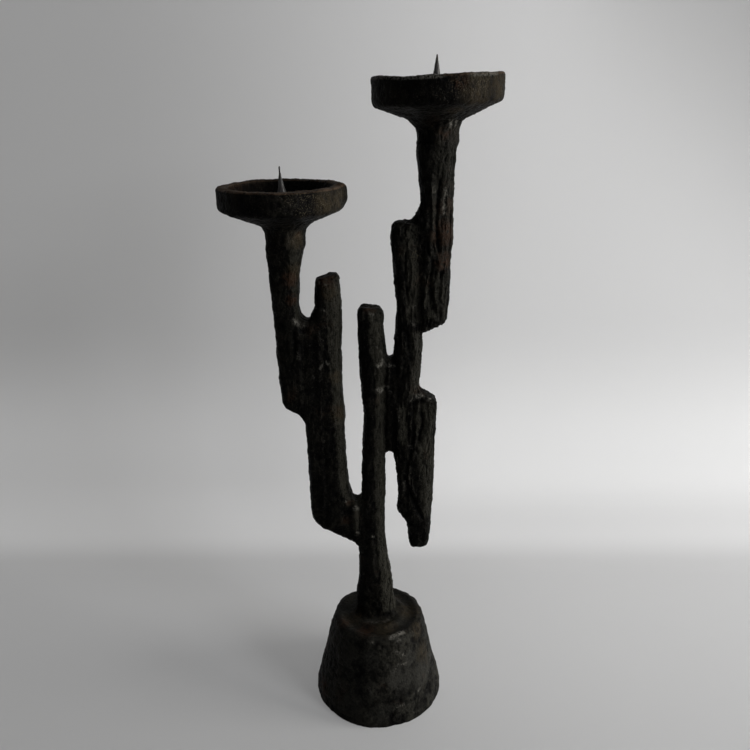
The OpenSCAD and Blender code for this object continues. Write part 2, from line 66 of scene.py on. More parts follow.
# The spikes, in millimetres: how high they stand above the wells, how long their bent tips are, how far
# down from the tip nothing is ground off, the grid of their skin, the noises in it as heights and sizes,
# and for each spike how far its tip is bent and how far its middle is ground off
SPIKE_SHOWN = 18.5
BENT_LENGTH = 14.0
TIP_KEPT = 4.0
SPIKE_GRID = 0.3
SPIKE_GRIT = [(0.12, 2.0), (0.06, 0.8)]
SPIKES = {"left_spike": (0.8, 0.5), "right_spike": (0.0, 0.1)}

# The iron skin, in millimetres: its grid, how far the notches are filled, how often it is smoothed and how
# near two corners of a solid count as one
SKIN_GRID = 0.6
FILLET_REACH = 1.4
SMOOTH_PASSES = 2
SAME_PLACE = 0.001

# The cells that cut the skin, in millimetres: how far they reach, half the widths of the two big welds
# and of a bead, and how far a bead stops short of its solid's end
FAR = 300.0
WELD_HALF = 3.0
WEB_HALF = 2.75
BEAD_HALF = 1.5
BEAD_END = 2.4

# The share of its faces that the base keeps, and the angle in degrees from which an edge shows as hard
BASE_FACES_KEPT = 0.7
HARD_EDGE = 50.0

IRON_NODES = [
    "base", "centre_bar", "left_outer_bar", "left_middle_bar", "left_inner_bar",
    "right_long_bar", "right_upper_bar", "right_lower_bar", "left_pan", "right_pan",
    "left_arm_weld", "left_outer_weld_front", "left_outer_weld_back",
    "left_inner_weld_front", "left_inner_weld_back",
    "right_arm_weld", "right_upper_weld_front", "right_upper_weld_back",
    "right_lower_weld_front", "right_lower_weld_back",
]
FASTENER_NODES = ["base_bolt", "base_washer", "base_lock_washer"]

# Strokes that the smith left on the iron: points of a line, its half width and its height, in
# millimetres; a stroke with a height below zero is a groove
STROKES = [
    ([(-4.5, -7.5, 121), (-3.2, -7.5, 103), (-0.5, -8.5, 84), (0.5, -9.5, 72)], 1.5, 1.0),
    ([(-15.0, -6.5, 150), (-14.6, -6.5, 138), (-14.8, -6.5, 127)], 1.8, 1.0),
    ([(18.2, -7.5, 178), (17.1, -7.5, 167), (21.7, -7.5, 154.5), (27.5, -7.5, 140)], 1.2, -1.3),
    ([(19.5, -7.5, 176), (19.3, -7.5, 166), (23.5, -7.5, 156)], 1.1, 0.7),
    ([(26, -7.5, 221), (26.9, -7.5, 205), (24.5, -7.5, 192)], 1.3, -1.0),
    ([(9.6, -6.5, 225), (13.5, -7.0, 211.5), (13, -7.0, 195)], 1.6, 1.0),
    ([(23.5, -7.5, 193), (25.5, -7.5, 188)], 2.0, 1.1),
    ([(16.5, -7.5, 277), (18.3, -7.5, 284)], 1.8, 0.8),
    ([(29, -8, 353), (31, -8, 335), (29.5, -7.5, 318)], 1.3, 0.9),
    ([(33.5, -7.5, 350), (32, -7.5, 330), (34, -7.5, 312)], 1.2, -1.0),
    ([(31, -7.5, 306), (30, -7.5, 290), (33, -7.5, 276)], 1.3, -0.9),
    ([(36, -7, 300), (35, -7, 284), (36.5, -7, 272)], 1.2, -0.8),
    ([(16, -7.5, 318), (15.5, -7.5, 300), (17.5, -7.5, 282)], 1.0, -0.7),
    ([(21, -7.5, 214), (22, -7.5, 198), (20, -7.5, 184)], 1.1, -0.8),
    ([(-49.3, -7, 264), (-49, -7, 252)], 1.0, -0.8),
    ([(5.3, 0, 165.5), (5.3, -1, 163)], 1.6, 0.8),
    ([(-20.0, -5, 346.0), (-19.3, -3, 341)], 3.4, 2.3),
    ([(-25, -16, 341), (-22, -12, 343)], 4.0, 0.8),
    ([(-11, -3, 279.4), (-7, -6, 280.4), (-2, -7, 279.8), (2, -5, 277.6)], 1.6, 0.8),
    ([(6, -36, 52), (9, -35, 40), (4, -38, 30)], 1.2, -0.8),
    ([(22, -32, 30), (26, -30, 22), (24, -33, 14)], 1.2, -0.7),
    ([(-8, -33, 50), (-9, -36, 34)], 1.2, 0.6), ([(10, -30, 56), (18, -27, 56)], 1.4, 0.7),
]

# Weld metal run into the corners of the notches: where each corner is, seen from the front, which way
# it opens along x and z, and how far it is filled, in millimetres
GUSSETS = [
    (-45.1, 269.0, 1, 1, 2.8), (-38.2, 269.0, -1, 1, 1.8), (-17.1, 149.0, 1, 1, 2.6), (-10.2, 149.0, -1, 1, 2.6),
    (4.2, 185.0, 1, -1, 0.9), (10.3, 185.0, -1, -1, 0.9), (5.4, 245.0, 1, 1, 0.6), (9.6, 245.0, -1, 1, 0.6),
]
GUSSET_DEPTH = 5.5

# Flats along the bars: the ridge where each begins, as points seen from the front, its width to the
# right and how far it falls over that width, in millimetres, and how pale it is. The fall is relief; the
# paleness is painted light on the right-hand faces, which the lamp at the right lights.
FLATS_WITH_PAINTED_LIGHT = [
    ([(-50.6, 326), (-51.2, 312), (-50.6, 298), (-49.8, 285), (-48.6, 270)], 6.5, 0.8, 0.6),
    ([(-33.0, 299), (-31.6, 285), (-30.4, 272), (-29.2, 250), (-28.4, 230), (-27.4, 205), (-26.2, 180),
      (-23.8, 160), (-20.5, 146)], 9.0, 1.1, 0.9),
    ([(-5.8, 281), (-5.6, 255), (-3.4, 248), (-2.4, 244)], 8.0, 0.9, 0.9),
    ([(-2.8, 249), (-1.6, 240), (-1.8, 220), (-2.8, 200), (-2.8, 183)], 5.2, 0.7, 0.75),
    ([(-2.8, 188), (-2.6, 150), (-2.2, 132), (-1.0, 120), (-0.4, 108), (0.6, 96), (1.2, 84), (1.8, 64)],
     8.0, 0.9, 0.95),
    ([(-16.6, 147), (-16.4, 129)], 3.6, 0.5, 0.8),
    ([(12.6, 327), (13.2, 306), (15.4, 300), (15.8, 285), (16.8, 268)], 6.5, 0.6, 0.6),
    ([(18.6, 266), (20.0, 250), (19.2, 236), (16.6, 223)], 6.0, 0.8, 0.5),
    ([(30.8, 380), (30.4, 372), (29.6, 350), (28.8, 330), (29.2, 312), (28.4, 300)], 10.0, 1.0, 0.35),
    ([(24.6, 300), (24.6, 270)], 12.0, 0.6, 0.5),
    ([(21.6, 221), (21.8, 205), (23.0, 190), (25.0, 178), (26.0, 160), (27.0, 138)], 9.0, 0.9, 0.7),
    ([(12.6, 219), (13.2, 200), (13.0, 190)], 4.0, 0.5, 0.7),
]

# Smooth grey patches on the base and the pans: the middle, the radius in millimetres and how pale each is.
# Their smoothness is wear; their paleness is partly painted light, strongest on the right-hand sides.
PATCHES = [
    ((15, -33, 32), 12, 0.9), ((-4, -31, 46), 8, 0.5), ((31, -25, 28), 12, 0.75), ((24, -30, 46), 10, 0.7),
    ((-16, -36, 12), 9, 0.35), ((2, -40, 10), 10, 0.5), ((36, 10, 30), 18, 0.6), ((-20, 36, 30), 16, 0.6),
    ((8, -24, 388), 12, 0.35), ((-30, -18, 334), 9, 0.4),
]

# Pale marks, as points of a line, its half width in millimetres and how pale it is; some of them, such as
# those along the base's front lip and the right arm's shoulder, are painted highlights
PALE_MARKS_AND_HIGHLIGHTS = [
    ([(-48.4, -7, 271.4), (-46.5, -7, 269.6), (-44.6, -7, 268.2), (-43, -7, 269.4)], 1.3, 0.7),
    ([(-47.6, -7, 252), (-47.2, -7, 248)], 0.7, 0.45), ([(-42, -7, 257), (-40, -7, 256.4)], 0.5, 0.35),
    ([(-31.8, -7, 278), (-31.4, -7, 277)], 0.7, 0.9), ([(-34.6, -7, 241.6), (-33, -7, 244)], 0.7, 0.4),
    ([(-30.6, -7, 246), (-29.6, -7, 244.4)], 0.7, 0.5), ([(-39, -7, 237), (-37, -7, 234.5)], 0.6, 0.35),
    ([(-21, -7, 207), (-19.6, -6, 210)], 0.9, 0.45), ([(-33.6, -7, 194.2), (-33.4, -7, 193.8)], 0.7, 0.4),
    ([(-34.2, -6, 295.6), (-33, -7, 293.4)], 0.7, 0.5), ([(-30.2, -7, 293.2), (-29.8, -7, 293)], 0.7, 0.6),
    ([(-0.5, -7, 243.4), (1.5, -7, 244), (3.2, -7, 246.2), (4.6, -7, 243.6), (6.6, -6, 243.2)], 1.0, 0.95),
    ([(8, -6, 243), (9.6, -6, 243.2)], 0.7, 0.7), ([(1.8, -7, 252.2), (3, -7, 251.6)], 0.8, 0.6),
    ([(-2.2, -7, 257), (-1.2, -7, 255)], 0.6, 0.5), ([(6.5, -6, 240), (7.5, -6, 236.5)], 0.6, 0.4),
    ([(-0.8, -7, 228.6), (0.6, -7, 228.6), (2, -7, 226.4), (3.2, -7, 228), (4.2, -7, 229.8),
      (5.6, -6, 229.6)], 1.0, 0.9),
    ([(-4.6, -7, 275.6), (-3, -7, 274.8), (-1.8, -7, 275.4)], 0.7, 0.45),
    ([(-5, -6, 280.4), (-3, -6, 280.2)], 0.7, 0.5),
    ([(-10, -4, 279.4), (-7, -6, 279.8)], 0.6, 0.3),
    ([(7.2, -6, 226.5), (9.2, -6, 224), (10.8, -7, 221)], 0.7, 0.3),
    ([(10.5, -7, 224), (12.2, -7, 216), (13, -7, 208)], 0.7, 0.3),
    ([(19.8, -7, 221.2), (22, -7, 221.8)], 0.7, 0.6),
    ([(23, -7, 223.6), (26, -7, 224.2), (30.5, -6, 223.6)], 1.0, 1.0),
    ([(31, -6, 221.8), (32, -5, 221.6)], 0.7, 0.8),
    ([(20.2, -7, 190.5), (21, -7, 189)], 1.0, 0.45), ([(23, -7, 186), (24.6, -7, 184.4)], 0.8, 0.3),
    ([(16.2, -7, 172), (17.5, -7, 170.5)], 0.6, 0.35), ([(16.2, -7, 160), (16.8, -7, 166)], 0.7, 0.35),
    ([(20.5, -7, 279.5), (21.6, -7, 279.8)], 0.7, 0.5), ([(20, -7, 270.5), (20.8, -7, 268.8)], 0.8, 0.4),
    ([(37, -7, 346), (37, -7, 333)], 0.9, 0.75), ([(38.8, -6, 358), (39.2, -5, 346)], 0.8, 0.5),
    ([(39.4, -5, 370), (39.8, -5, 360)], 0.8, 0.45),
    ([(33, -7, 361), (34.5, -7, 352), (37.5, -7, 348)], 0.6, 0.35),
    ([(29.4, -7, 350), (30.6, -7, 345)], 0.8, 0.35), ([(27.5, -7, 334), (28.5, -7, 322)], 0.9, 0.25),
    ([(38, -14.8, 383.2), (38.6, -10, 378.4)], 0.7, 1.0), ([(41, -12, 384), (41, -8, 379)], 0.6, 0.5),
    ([(32.6, -7, 310), (33.4, -7, 307)], 0.7, 0.5), ([(-20.2, -7, 151.3), (-19.6, -7, 150.6)], 0.8, 0.8),
    ([(-15.6, -7, 145.3), (-14.6, -7, 147.2), (-13.6, -7, 145.8)], 0.9, 1.0),
    ([(-14.4, -7, 149), (-14, -7, 147.6)], 0.8, 0.7), ([(-18, -7, 153.5), (-16, -7, 151.5)], 1.2, 0.35),
    ([(-13.8, -7, 127.8), (-13.4, -7, 127.4)], 0.9, 0.6), ([(-3.4, -8, 125.6), (-3, -8, 125.2)], 0.7, 0.8),
    ([(-4.6, -8, 109), (-3.4, -8, 103), (-2.4, -8, 95), (-3.4, -9, 84)], 0.8, 0.3),
    ([(-8, -12, 62.5), (-3, -12.5, 62.2), (1, -12, 62.4)], 1.0, 0.5), ([(4, -12, 62), (7, -10, 62.5)], 1.1, 0.5),
    ([(7.5, -27, 60.2), (12, -24.5, 60.4), (16, -22, 60.6)], 1.1, 1.0),
    ([(10, -27, 58), (13, -26, 58.4)], 0.9, 0.8),
    ([(-6, -29, 59), (-3, -29.5, 58.4)], 0.8, 0.3), ([(11, -30, 52), (13, -29, 50)], 0.8, 0.5),
    ([(16, -28.6, 48.6), (16.6, -28.8, 46.8)], 0.7, 0.9), ([(15.4, -30, 41.6), (18.2, -29, 41.4)], 0.6, 0.8),
    ([(9, -33, 38), (11, -32, 40), (12, -31, 43)], 0.6, 0.45), ([(26, -29, 18), (29, -28, 20)], 0.9, 0.5),
    ([(9, -39, 12), (14, -38, 14), (17, -37, 14)], 0.6, 0.4), ([(-6, -37, 28), (-5, -37, 24)], 0.9, 0.4),
]

# Places of rust, of tan bloom and of gold specks: the middle and the radius, in millimetres
RUST_PLACES = [
    ((-50, -7, 296), 7), ((-49.5, -7, 284), 5), ((-30.5, -6, 297), 9), ((36.5, -6, 322), 11),
    ((37, -6, 306), 8), ((-82, 8, 345), 13), ((40, -34, 401), 6), ((-8, -20, 63), 10),
    ((-24, -12, 63), 8), ((34, -8, 376), 6), ((-5, -4, 280), 7), ((-18, -7, 150), 4),
    ((-40, 8, 30), 16), ((38, -18, 44), 6), ((-46, -6, 322), 4), ((-37, -16, 10), 10),
]
TAN_PLACES = [
    ((-28, -24, 341), 10), ((-22, -14, 341), 10), ((-46, -7, 318), 7), ((-47, -7, 300), 8),
    ((50, -30, 397), 14), ((61, -18, 398), 12), ((-23, -7, 212), 8), ((-25, -7, 236), 6),
    ((34, -20, 42), 12), ((27, -16, 58), 9), ((-28, -7, 288), 7), ((39, -26, 386), 7),
    ((4, -18, 62), 12), ((21, 0, 62), 12), ((-18, -8, 62), 10),
]
GOLD_PLACES = [
    ((-45, -34, 345), 5), ((-39, -31.5, 345), 5), ((-34, -28, 345), 5), ((-38, -31, 338), 7), ((-28, -24, 342), 9),
    ((-20, -10, 343), 6), ((40, -34, 399), 8), ((50, -30, 398), 9), ((52, -28, 402), 6),
    ((-46, -7, 320), 5), ((21, -8, 310), 5),
]

# Layers of noise in the iron's surface and in the outlines of its flats, each with its height and its
# size in millimetres
WAVES = [(0.5, 19.0), (0.3, 8.0)]
GRIT = [(0.2, 2.3), (0.16, 1.2)]
FLAT_WANDER = [(1.8, 9.0), (0.9, 3.5)]

# The relief of each kind of piece: the waves' share, how high the ridges between the hammer blows are and
# how wide the blows are, how deep the flakes are, the grit's share and how far all of it is raised
Relief = namedtuple("Relief", "waves ridges blow flake grit raised")
BASE_RELIEF = Relief(1.0, 0.9, 12.0, 0.3, 1.2, -0.05)
PAN_RELIEF = Relief(1.0, 1.0, 14.0, 0.25, 1.1, -0.05)
BAR_RELIEF = Relief(0.6, 0.5, 9.0, 0.3, 1.2, 0.15)

# The base's smaller blows: how wide they are and how high the ridges between them are, in millimetres
SMALL_BLOWS = 5.0
SMALL_RIDGES = 0.4

# Heights of the base's top and of the feet of the two pans, and where the left arm ends, the pans part and
# the right arm begins along x, in millimetres
BASE_HIGH = 62.0
LEFT_PAN_LOW = 327.0
RIGHT_PAN_LOW = 384.0
LEFT_ARM_END = -16.0
PANS_PART = -12.0
RIGHT_ARM_START = 7.0

# How far the left of the right pan's rim stands up, in millimetres
RIM_LIFT = 1.3

# The pans: the middle of each, the height of its rim there and its tilt, in millimetres and degrees, how
# far they reach from their middles, and half the height of the band in which their rims are
PANS = [(-54.14, 347.5, 0.6), (31.48, 403.8, 2.7)]
WELL_EDGE = 30.0
PAN_REACH = 40.0
RIM_BAND = 9.0

# The paper, in millimetres: where its wall stands and its floor begins, how large its bend is, in how
# many steps it bends, half its width and how high it is
PAPER_WALL = 190.0
PAPER_START = -1500.0
PAPER_BEND = 60.0
BEND_STEPS = 12
PAPER_HALF_WIDTH = 1900.0
PAPER_TOP = 1500.0

# Colours of the paper, each at the left and at the right: the wall, its foot, the bend, the floor behind
# the object and the floor in front of it, and the colour of the wall's upper right corner. These greys are
# painted light and shade: darker at the left, in the upper right corner and on the floor in front, and
# palest at the foot of the wall.
PAPER_PAINTED_LIGHT = {
    "wall": (0.46, 0.69), "foot": (0.625, 0.85), "bend": (0.63, 0.69), "floor": (0.51, 0.575),
    "front": (0.41, 0.495), "corner": 0.37,
}
# Painted glow: the paper sends its own colour to the camera and into reflections as light, though it is no lamp
PAPER_PAINTED_GLOW = 0.36

# Where those colours run from the left one to the right one, along x, and where each part of the paper
# runs over into the next, along an axis, in metres
PAPER_SIDES = {
    "wall": (-0.22, 0.14), "foot": (-0.13, 0.1), "bend": (-0.13, 0.1), "floor": (-0.1, 0.2),
    "front": (-0.1, 0.2),
}
PAPER_STEPS = [
    ("Z", 0.22, 0.09, "foot"), ("Z", 0.065, 0.02, "bend"), ("Y", 0.17, 0.142, "floor"), ("Y", 0.1, -0.2, "front"),
]
CORNER_RISE = (0.42, 0.9)
CORNER_SIDE = (0.0, 0.2)

# The lamps: place, target and size in millimetres, power in watts and colour
LAMPS = {
    "window": ((1980, -260, 460), (0, 40, 230), (900, 900), 37.0, (1.0, 0.985, 0.96)),
    "skylight": ((1250, -900, 1000), (0, 0, 200), (500, 500), 7.0, (0.97, 0.98, 1.0)),
}

# The room's colour, how strongly it lights the object and how bright it looks
ROOM = (0.8, 0.82, 0.85, 1.0)
ROOM_LIGHT = 0.015
ROOM_SEEN = 0.35

# Colours of the marks on the iron and of the dirt on the steel, and how much all the iron shines. The pale
# edge colour is wear and painted highlight, the chalk colour also paints highlights, and the rim brown also
# paints light on the wells' left inner walls
RUST = (0.034, 0.017, 0.0098)
RIM_RUST_AND_PAINTED_LIGHT = (0.08, 0.054, 0.036)
TAN = (0.043, 0.0325, 0.0185)
SOOT = (0.0009, 0.00085, 0.0008)
DUST_AND_PAINTED_HIGHLIGHT = (0.042, 0.039, 0.032)
GOLD = (0.092, 0.076, 0.048)
CHALK_AND_HIGHLIGHT = (0.2, 0.19, 0.165)
DIRT = (0.045, 0.03, 0.02)
SHEEN = 0.03

# Noises of the iron's finish: scale, detail, roughness and, where it is drawn out, how far along each axis
IRON_NOISES = {
    "patches": (55.0, 3.0, 0.55), "mottle": (330.0, 5.0, 0.62), "grit": (900.0, 4.0, 0.6),
    "fine": (2300.0, 2.0, 0.5), "specks": (1500.0, 2.0, 0.5), "streaks": (620.0, 4.0, 0.62, (1.0, 1.0, 0.16)),
}

# The looks of the iron: the colours of its hollows, its faces, its high spots and its pale flats and patches,
# where painted light stands on the bars' flats and partly on the patches, and how strong the stray rust,
# the shine, the drawn lines and the pits are, and where the chips begin
Look = namedtuple("Look", "dark mid lit ground rust shine grain pits chips")
LOOKS = {
    "base_iron": Look(
        (0.0012, 0.0011, 0.001), (0.007, 0.0067, 0.0056), (0.0255, 0.0243, 0.0198), (0.034, 0.0328, 0.0283),
        rust=0.35, shine=0.1, grain=0.15, pits=0.7, chips=0.62,
    ),
    "bar_iron": Look(
        (0.0007, 0.00066, 0.0006), (0.0019, 0.0018, 0.0015), (0.0085, 0.008, 0.0063), (0.0285, 0.0272, 0.0212),
        rust=0.3, shine=0.1, grain=0.8, pits=1.0, chips=0.62,
    ),
    "pan_iron": Look(
        (0.0007, 0.00066, 0.0006), (0.0023, 0.0021, 0.0018), (0.0105, 0.0096, 0.0076), (0.0245, 0.0218, 0.0163),
        rust=0.35, shine=0.06, grain=0.1, pits=0.8, chips=0.57,
    ),
    "weld_metal": Look(
        (0.0007, 0.00065, 0.0006), (0.002, 0.0019, 0.0016), (0.0095, 0.0088, 0.007), (0.0275, 0.0262, 0.0203),
        rust=0.35, shine=0.14, grain=0.6, pits=1.0, chips=0.6,
    ),
}


# ---- small helpers

def low(name):
    """A node's lowest corner, in millimetres."""
    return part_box(name)[0] / MM


def high(name):
    """A node's highest corner, in millimetres."""
    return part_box(name)[1] / MM


def clamp(value):
    return max(0.0, min(1.0, value))


def soft_step(value, start, end):
    """0 below start, 1 above end, and an S-shaped rise between."""
    t = clamp((value - start) / (end - start))
    return t * t * (3 - 2 * t)


def holder(name, mesh):
    """An object in the scene that holds a mesh."""
    piece = bpy.data.objects.new(name, mesh)
    bpy.context.scene.collection.objects.link(piece)
    return piece


def applied(piece, name):
    """The mesh of a piece with its modifiers applied. The piece itself is removed."""
    ready = piece.evaluated_get(bpy.context.evaluated_depsgraph_get())
    mesh = bpy.data.meshes.new_from_object(ready)
    mesh.name = name
    bpy.data.objects.remove(piece)
    return mesh


def melted(mesh, grid):
    """One even, closed skin round everything in a mesh."""
    piece = holder("melting", mesh)
    skin = piece.modifiers.new("melt", "REMESH")
    skin.mode = "VOXEL"
    skin.voxel_size = grid * MM
    return applied(piece, "skin")


def moved(mesh, shift):
    """Moves each point of a mesh along its normal by what shift says, in millimetres."""
    bm = bmesh.new()
    bm.from_mesh(mesh)
    bm.normal_update()
    for v in bm.verts:
        v.co += v.normal * shift(v) * MM
    bm.to_mesh(mesh)
    bm.free()
    return mesh


def smooth_out(mesh):
    bm = bmesh.new()
    bm.from_mesh(mesh)
    for _ in range(SMOOTH_PASSES):
        bmesh.ops.smooth_vert(
            bm, verts=bm.verts, factor=0.5, use_axis_x=True, use_axis_y=True, use_axis_z=True
        )
    bm.to_mesh(mesh)
    bm.free()


# ---- the smith's marks on the iron

def blows(p, size):
    """Hammer blows side by side: 0 in their middles, and up to 1 at the sharp ridges between them."""
    return min(noise.voronoi(p / size)[0][0], 1.0) ** 2


def bark(p):
    """Folds and cracks that run up the bars."""
    bend = noise.noise_vector(p / 11.0)
    q = Vector(((p.x + 1.6 * bend.x) / 3.2, (p.y + 1.6 * bend.y) / 3.2, p.z / 26.0))
    fold = noise.noise(q)
    fine = noise.noise(Vector((p.x / 1.8, p.y / 1.8, p.z / 8.0)))
    crack = clamp(1 - abs(fold) / 0.13) * soft_step(noise.noise(p / 6.5), -0.12, 0.12)
    crest = clamp(1 - abs(noise.noise(q + Vector((5.3, 1.7, 2.9)))) / 0.2) ** 1.5
    return 0.6 * fold + 0.25 * fine + 0.45 * crest - 0.75 * crack


def flakes(p):
    """Scale that has come off in places: 1 where it is gone."""
    return soft_step(noise.noise(p / 4.5 + Vector((3.1, 0.4, 7.7))), 0.08, 0.16)


def bark_share(p):
    """How strong the folds are at a place."""
    if p.x > RIGHT_ARM_START:
        smooth = soft_step(p.x, 21, 24) * soft_step(p.z, 228, 215)
        return 0.95 - 0.4 * soft_step(p.z, 335, 360) - 0.5 * smooth
    return 0.5 if p.x > LEFT_ARM_END else 0.32


def pan_share(p):
    """1 on a pan and 0 below its neck."""
    start = LEFT_PAN_LOW if p.x < PANS_PART else RIGHT_PAN_LOW
    return soft_step(p.z, start, start + 5)


def off_line(p, a, b):
    """Distance of a point from the line between two others."""
    along = b - a
    t = clamp((p - a).dot(along) / along.length_squared)
    return (p - a - along * t).length


def legs(lines):
    """Each straight leg of some lines, with the line's half width and its strength."""
    return [
        (Vector(a), Vector(b), half, strength)
        for points, half, strength in lines
        for a, b in zip(points, points[1:])
    ]


STROKE_LEGS = legs(STROKES)
PALE_AND_HIGHLIGHT_LEGS = legs(PALE_MARKS_AND_HIGHLIGHTS)


def drawn(p, lines):
    """The highest and the lowest value that some lines give at a point."""
    most = least = 0.0
    for a, b, half, strength in lines:
        reach = 2.5 * half
        in_height = min(a.z, b.z) - reach < p.z < max(a.z, b.z) + reach
        if in_height and min(a.x, b.x) - reach < p.x < max(a.x, b.x) + reach:
            value = strength * math.exp(-((off_line(p, a, b) / half) ** 2))
            most = max(most, value)
            least = min(least, value)
    return most, least


def pale_and_highlit(p):
    """How pale the marks and the painted highlights are at a point. Their outlines are ragged."""
    return drawn(p + 0.8 * noise.noise_vector(p / 1.7), PALE_AND_HIGHLIGHT_LEGS)[0]


def patch(p):
    """How much of a smooth patch there is at a point. Its outline wanders."""
    q = p + 4.5 * noise.noise_vector(p / 7.0)
    return max(
        pale * soft_step((q - Vector(middle)).length, radius, 0.6 * radius) for middle, radius, pale in PATCHES
    )


def worn_rim(x):
    """How bare the right pan's rim is: along its left half, and in one place of its right half."""
    return max(0.8 * soft_step(x, 34, 28), 0.45 * soft_step(x, 44, 47) * soft_step(x, 62, 58))


def rim(p):
    """How brown and how bare a pan's rim is at a point, and how dark the well is there. The brown is
    rust on the rim's top and painted light on the well's left inner wall.
    """
    for middle, top, tilt in PANS:
        height = p.z - top - (p.x - middle) * math.tan(math.radians(tilt))
        off = math.hypot(p.x - middle, p.y)
        if off < PAN_REACH and abs(height) < RIM_BAND:
            on_top = soft_step(height, -1.1, -0.5)
            inside = soft_step(off, WELL_EDGE + 0.5, WELL_EDGE - 0.5)
            bare = worn_rim(p.x) if middle > 0 else 0.0
            # Rust on the rim's top, and painted light on the well's left inner wall, which faces the lamp
            brown = max((1 - bare) * on_top, 0.18 * inside * soft_step(p.x - middle, -4, -16))
            return brown, bare * soft_step(height, -2.0, -1.2), inside * soft_step(height, -0.6, -2.0)
    return 0.0, 0.0, 0.0


def across(points, z):
    """Where a line seen from the front is at a height, and how far it is in from the line's ends."""
    for (x0, z0), (x1, z1) in zip(points, points[1:]):
        if z1 <= z <= z0:
            inside = min(points[0][1] - z, z - points[-1][1])
            return x1 + (x0 - x1) * (z - z1) / (z0 - z1), inside
    return None, 0.0


def ground(p, normal):
    """How pale a flat is at a point, a paleness that is painted light, and how low the point is there."""
    most = fall = 0.0
    facing = soft_step(abs(normal.y), 0.25, 0.75)
    wander = layers(p, FLAT_WANDER)
    for points, width, drop, pale in FLATS_WITH_PAINTED_LIGHT:
        ridge, inside = across(points, p.z)
        if ridge is None or not 0 < p.x + wander - ridge < 1.5 * width:
            continue
        share = (p.x + wander - ridge) / width
        ends = soft_step(inside, 0.0, 3.0)
        most = max(most, pale * ends * soft_step(share, 0.0, 0.12) * soft_step(share, 1.5, 1.15))
        fall = max(fall, facing * ends * drop * min(share, 1.1))
    return most, fall


def layers(p, noises):
    """The sum of some noises at a point."""
    return sum(height * noise.noise(p / size) for height, size in noises)


def beaten(p, kind):
    """Waves, the ridges between hammer blows and the flakes among them, for a kind of relief."""
    return kind.waves * layers(p, WAVES) + kind.ridges * blows(p, kind.blow) - kind.flake * flakes(p)


def base_relief(p, worn):
    even = (1 - 0.75 * worn) * (0.5 + 0.5 * soft_step(p.z, 0, 5))
    small = SMALL_RIDGES * blows(p, SMALL_BLOWS)
    rough = small - BASE_RELIEF.flake * flakes(p) + BASE_RELIEF.grit * layers(p, GRIT)
    ridges = BASE_RELIEF.ridges * blows(p, BASE_RELIEF.blow)
    return BASE_RELIEF.waves * layers(p, WAVES) + even * (ridges + rough) + BASE_RELIEF.raised


def pan_relief(p):
    even = 0.55 if p.x > PANS_PART else 0.75
    return even * beaten(p, PAN_RELIEF) + PAN_RELIEF.grit * layers(p, GRIT) + PAN_RELIEF.raised


def bar_relief(p, fall, flat):
    """The bars' relief. The folds are weaker on the flats of the left arm and the centre bar."""
    folds = bark_share(p) * (1 - 0.35 * flat if p.x < RIGHT_ARM_START else 1) * bark(p)
    return beaten(p, BAR_RELIEF) + folds + BAR_RELIEF.grit * layers(p, GRIT) + BAR_RELIEF.raised - fall


def relief(p, fall, flat, worn):
    """Height of the iron's surface above its smooth form, at a point in millimetres."""
    most, least = drawn(p, STROKE_LEGS)
    if p.z < BASE_HIGH:
        return base_relief(p, worn) + (most + least)
    on_pan = pan_share(p)
    pan = pan_relief(p) if on_pan > 0 else 0.0
    bar = bar_relief(p, fall, flat) if on_pan < 1 else 0.0
    return on_pan * pan + (1 - on_pan) * bar + most + least


def lift(p):
    """How far the right pan's rim stands up at its left, in millimetres."""
    return RIM_LIFT * soft_step(p.x, 14, -2) * soft_step(p.z, 392, 401)


def juts(mesh):
    """How far each point stands out from those round it, evened out a little, in millimetres."""
    bm = bmesh.new()
    bm.from_mesh(mesh)
    bm.normal_update()
    found = [
        sum((v.co - e.other_vert(v).co).dot(v.normal) for e in v.link_edges) / len(v.link_edges) / MM
        for v in bm.verts
    ]
    for _ in range(2):
        found = [
            (found[v.index] + sum(found[e.other_vert(v).index] for e in v.link_edges)) / (len(v.link_edges) + 1)
            for v in bm.verts
        ]
    bm.free()
    return found


def hammered(mesh):
    """The relief on a mesh, which stays above the table. Returns what the finish reads at each point."""
    values = {"depth": [], "ground": [], "pale_and_highlit": [], "rim": []}

    def shift(v):
        p = v.co / MM
        flat, fall = ground(p, v.normal)
        smooth = patch(p) if p.z < BASE_HIGH or p.z > LEFT_PAN_LOW else 0.0
        top = 0.0
        if p.z < BASE_HIGH + 2:
            top = soft_step(v.normal.z, 0.6, 0.9) * soft_step(p.z, BASE_HIGH - 5, BASE_HIGH - 3)
        height = relief(p, fall, flat, max(smooth, top))
        brown, bare, dark_well = rim(p)
        depth = clamp(0.5 - 0.55 * (height + fall))
        values["depth"].append(max(depth, dark_well * (0.87 + 0.2 * noise.noise(p / 3.0))))
        # The paleness: painted light on the flats, and wear that is partly painted light on the patches
        values["ground"].append(max(flat, smooth, 0.4 * top))
        values["pale_and_highlit"].append(max(bare, pale_and_highlit(p) if p.y < 0 else 0.0))
        values["rim"].append(brown)
        return height

    moved(mesh, shift)
    for v in mesh.vertices:
        v.co.z = max(v.co.z + lift(v.co / MM) * MM, 0.0)
    # The edges that stand out, which the finish makes paler: wear, and a painted highlight
    values["edge"] = [soft_step(jut / SKIN_GRID, 0.05, 0.16) for jut in juts(mesh)]
    return values


class Marks:
    """What the finish reads at each point of the whole skin, to be found again after the cutting."""

    def __init__(self, skin, values):
        self.values = values
        self.tree = kdtree.KDTree(len(skin.vertices))
        for v in skin.vertices:
            self.tree.insert(v.co, v.index)
        self.tree.balance()

    def give(self, mesh):
        nearest = [self.tree.find(v.co)[1] for v in mesh.vertices]
        for name, values in self.values.items():
            made = mesh.attributes.new(name, "FLOAT", "POINT")
            made.data.foreach_set("value", [values[i] for i in nearest])


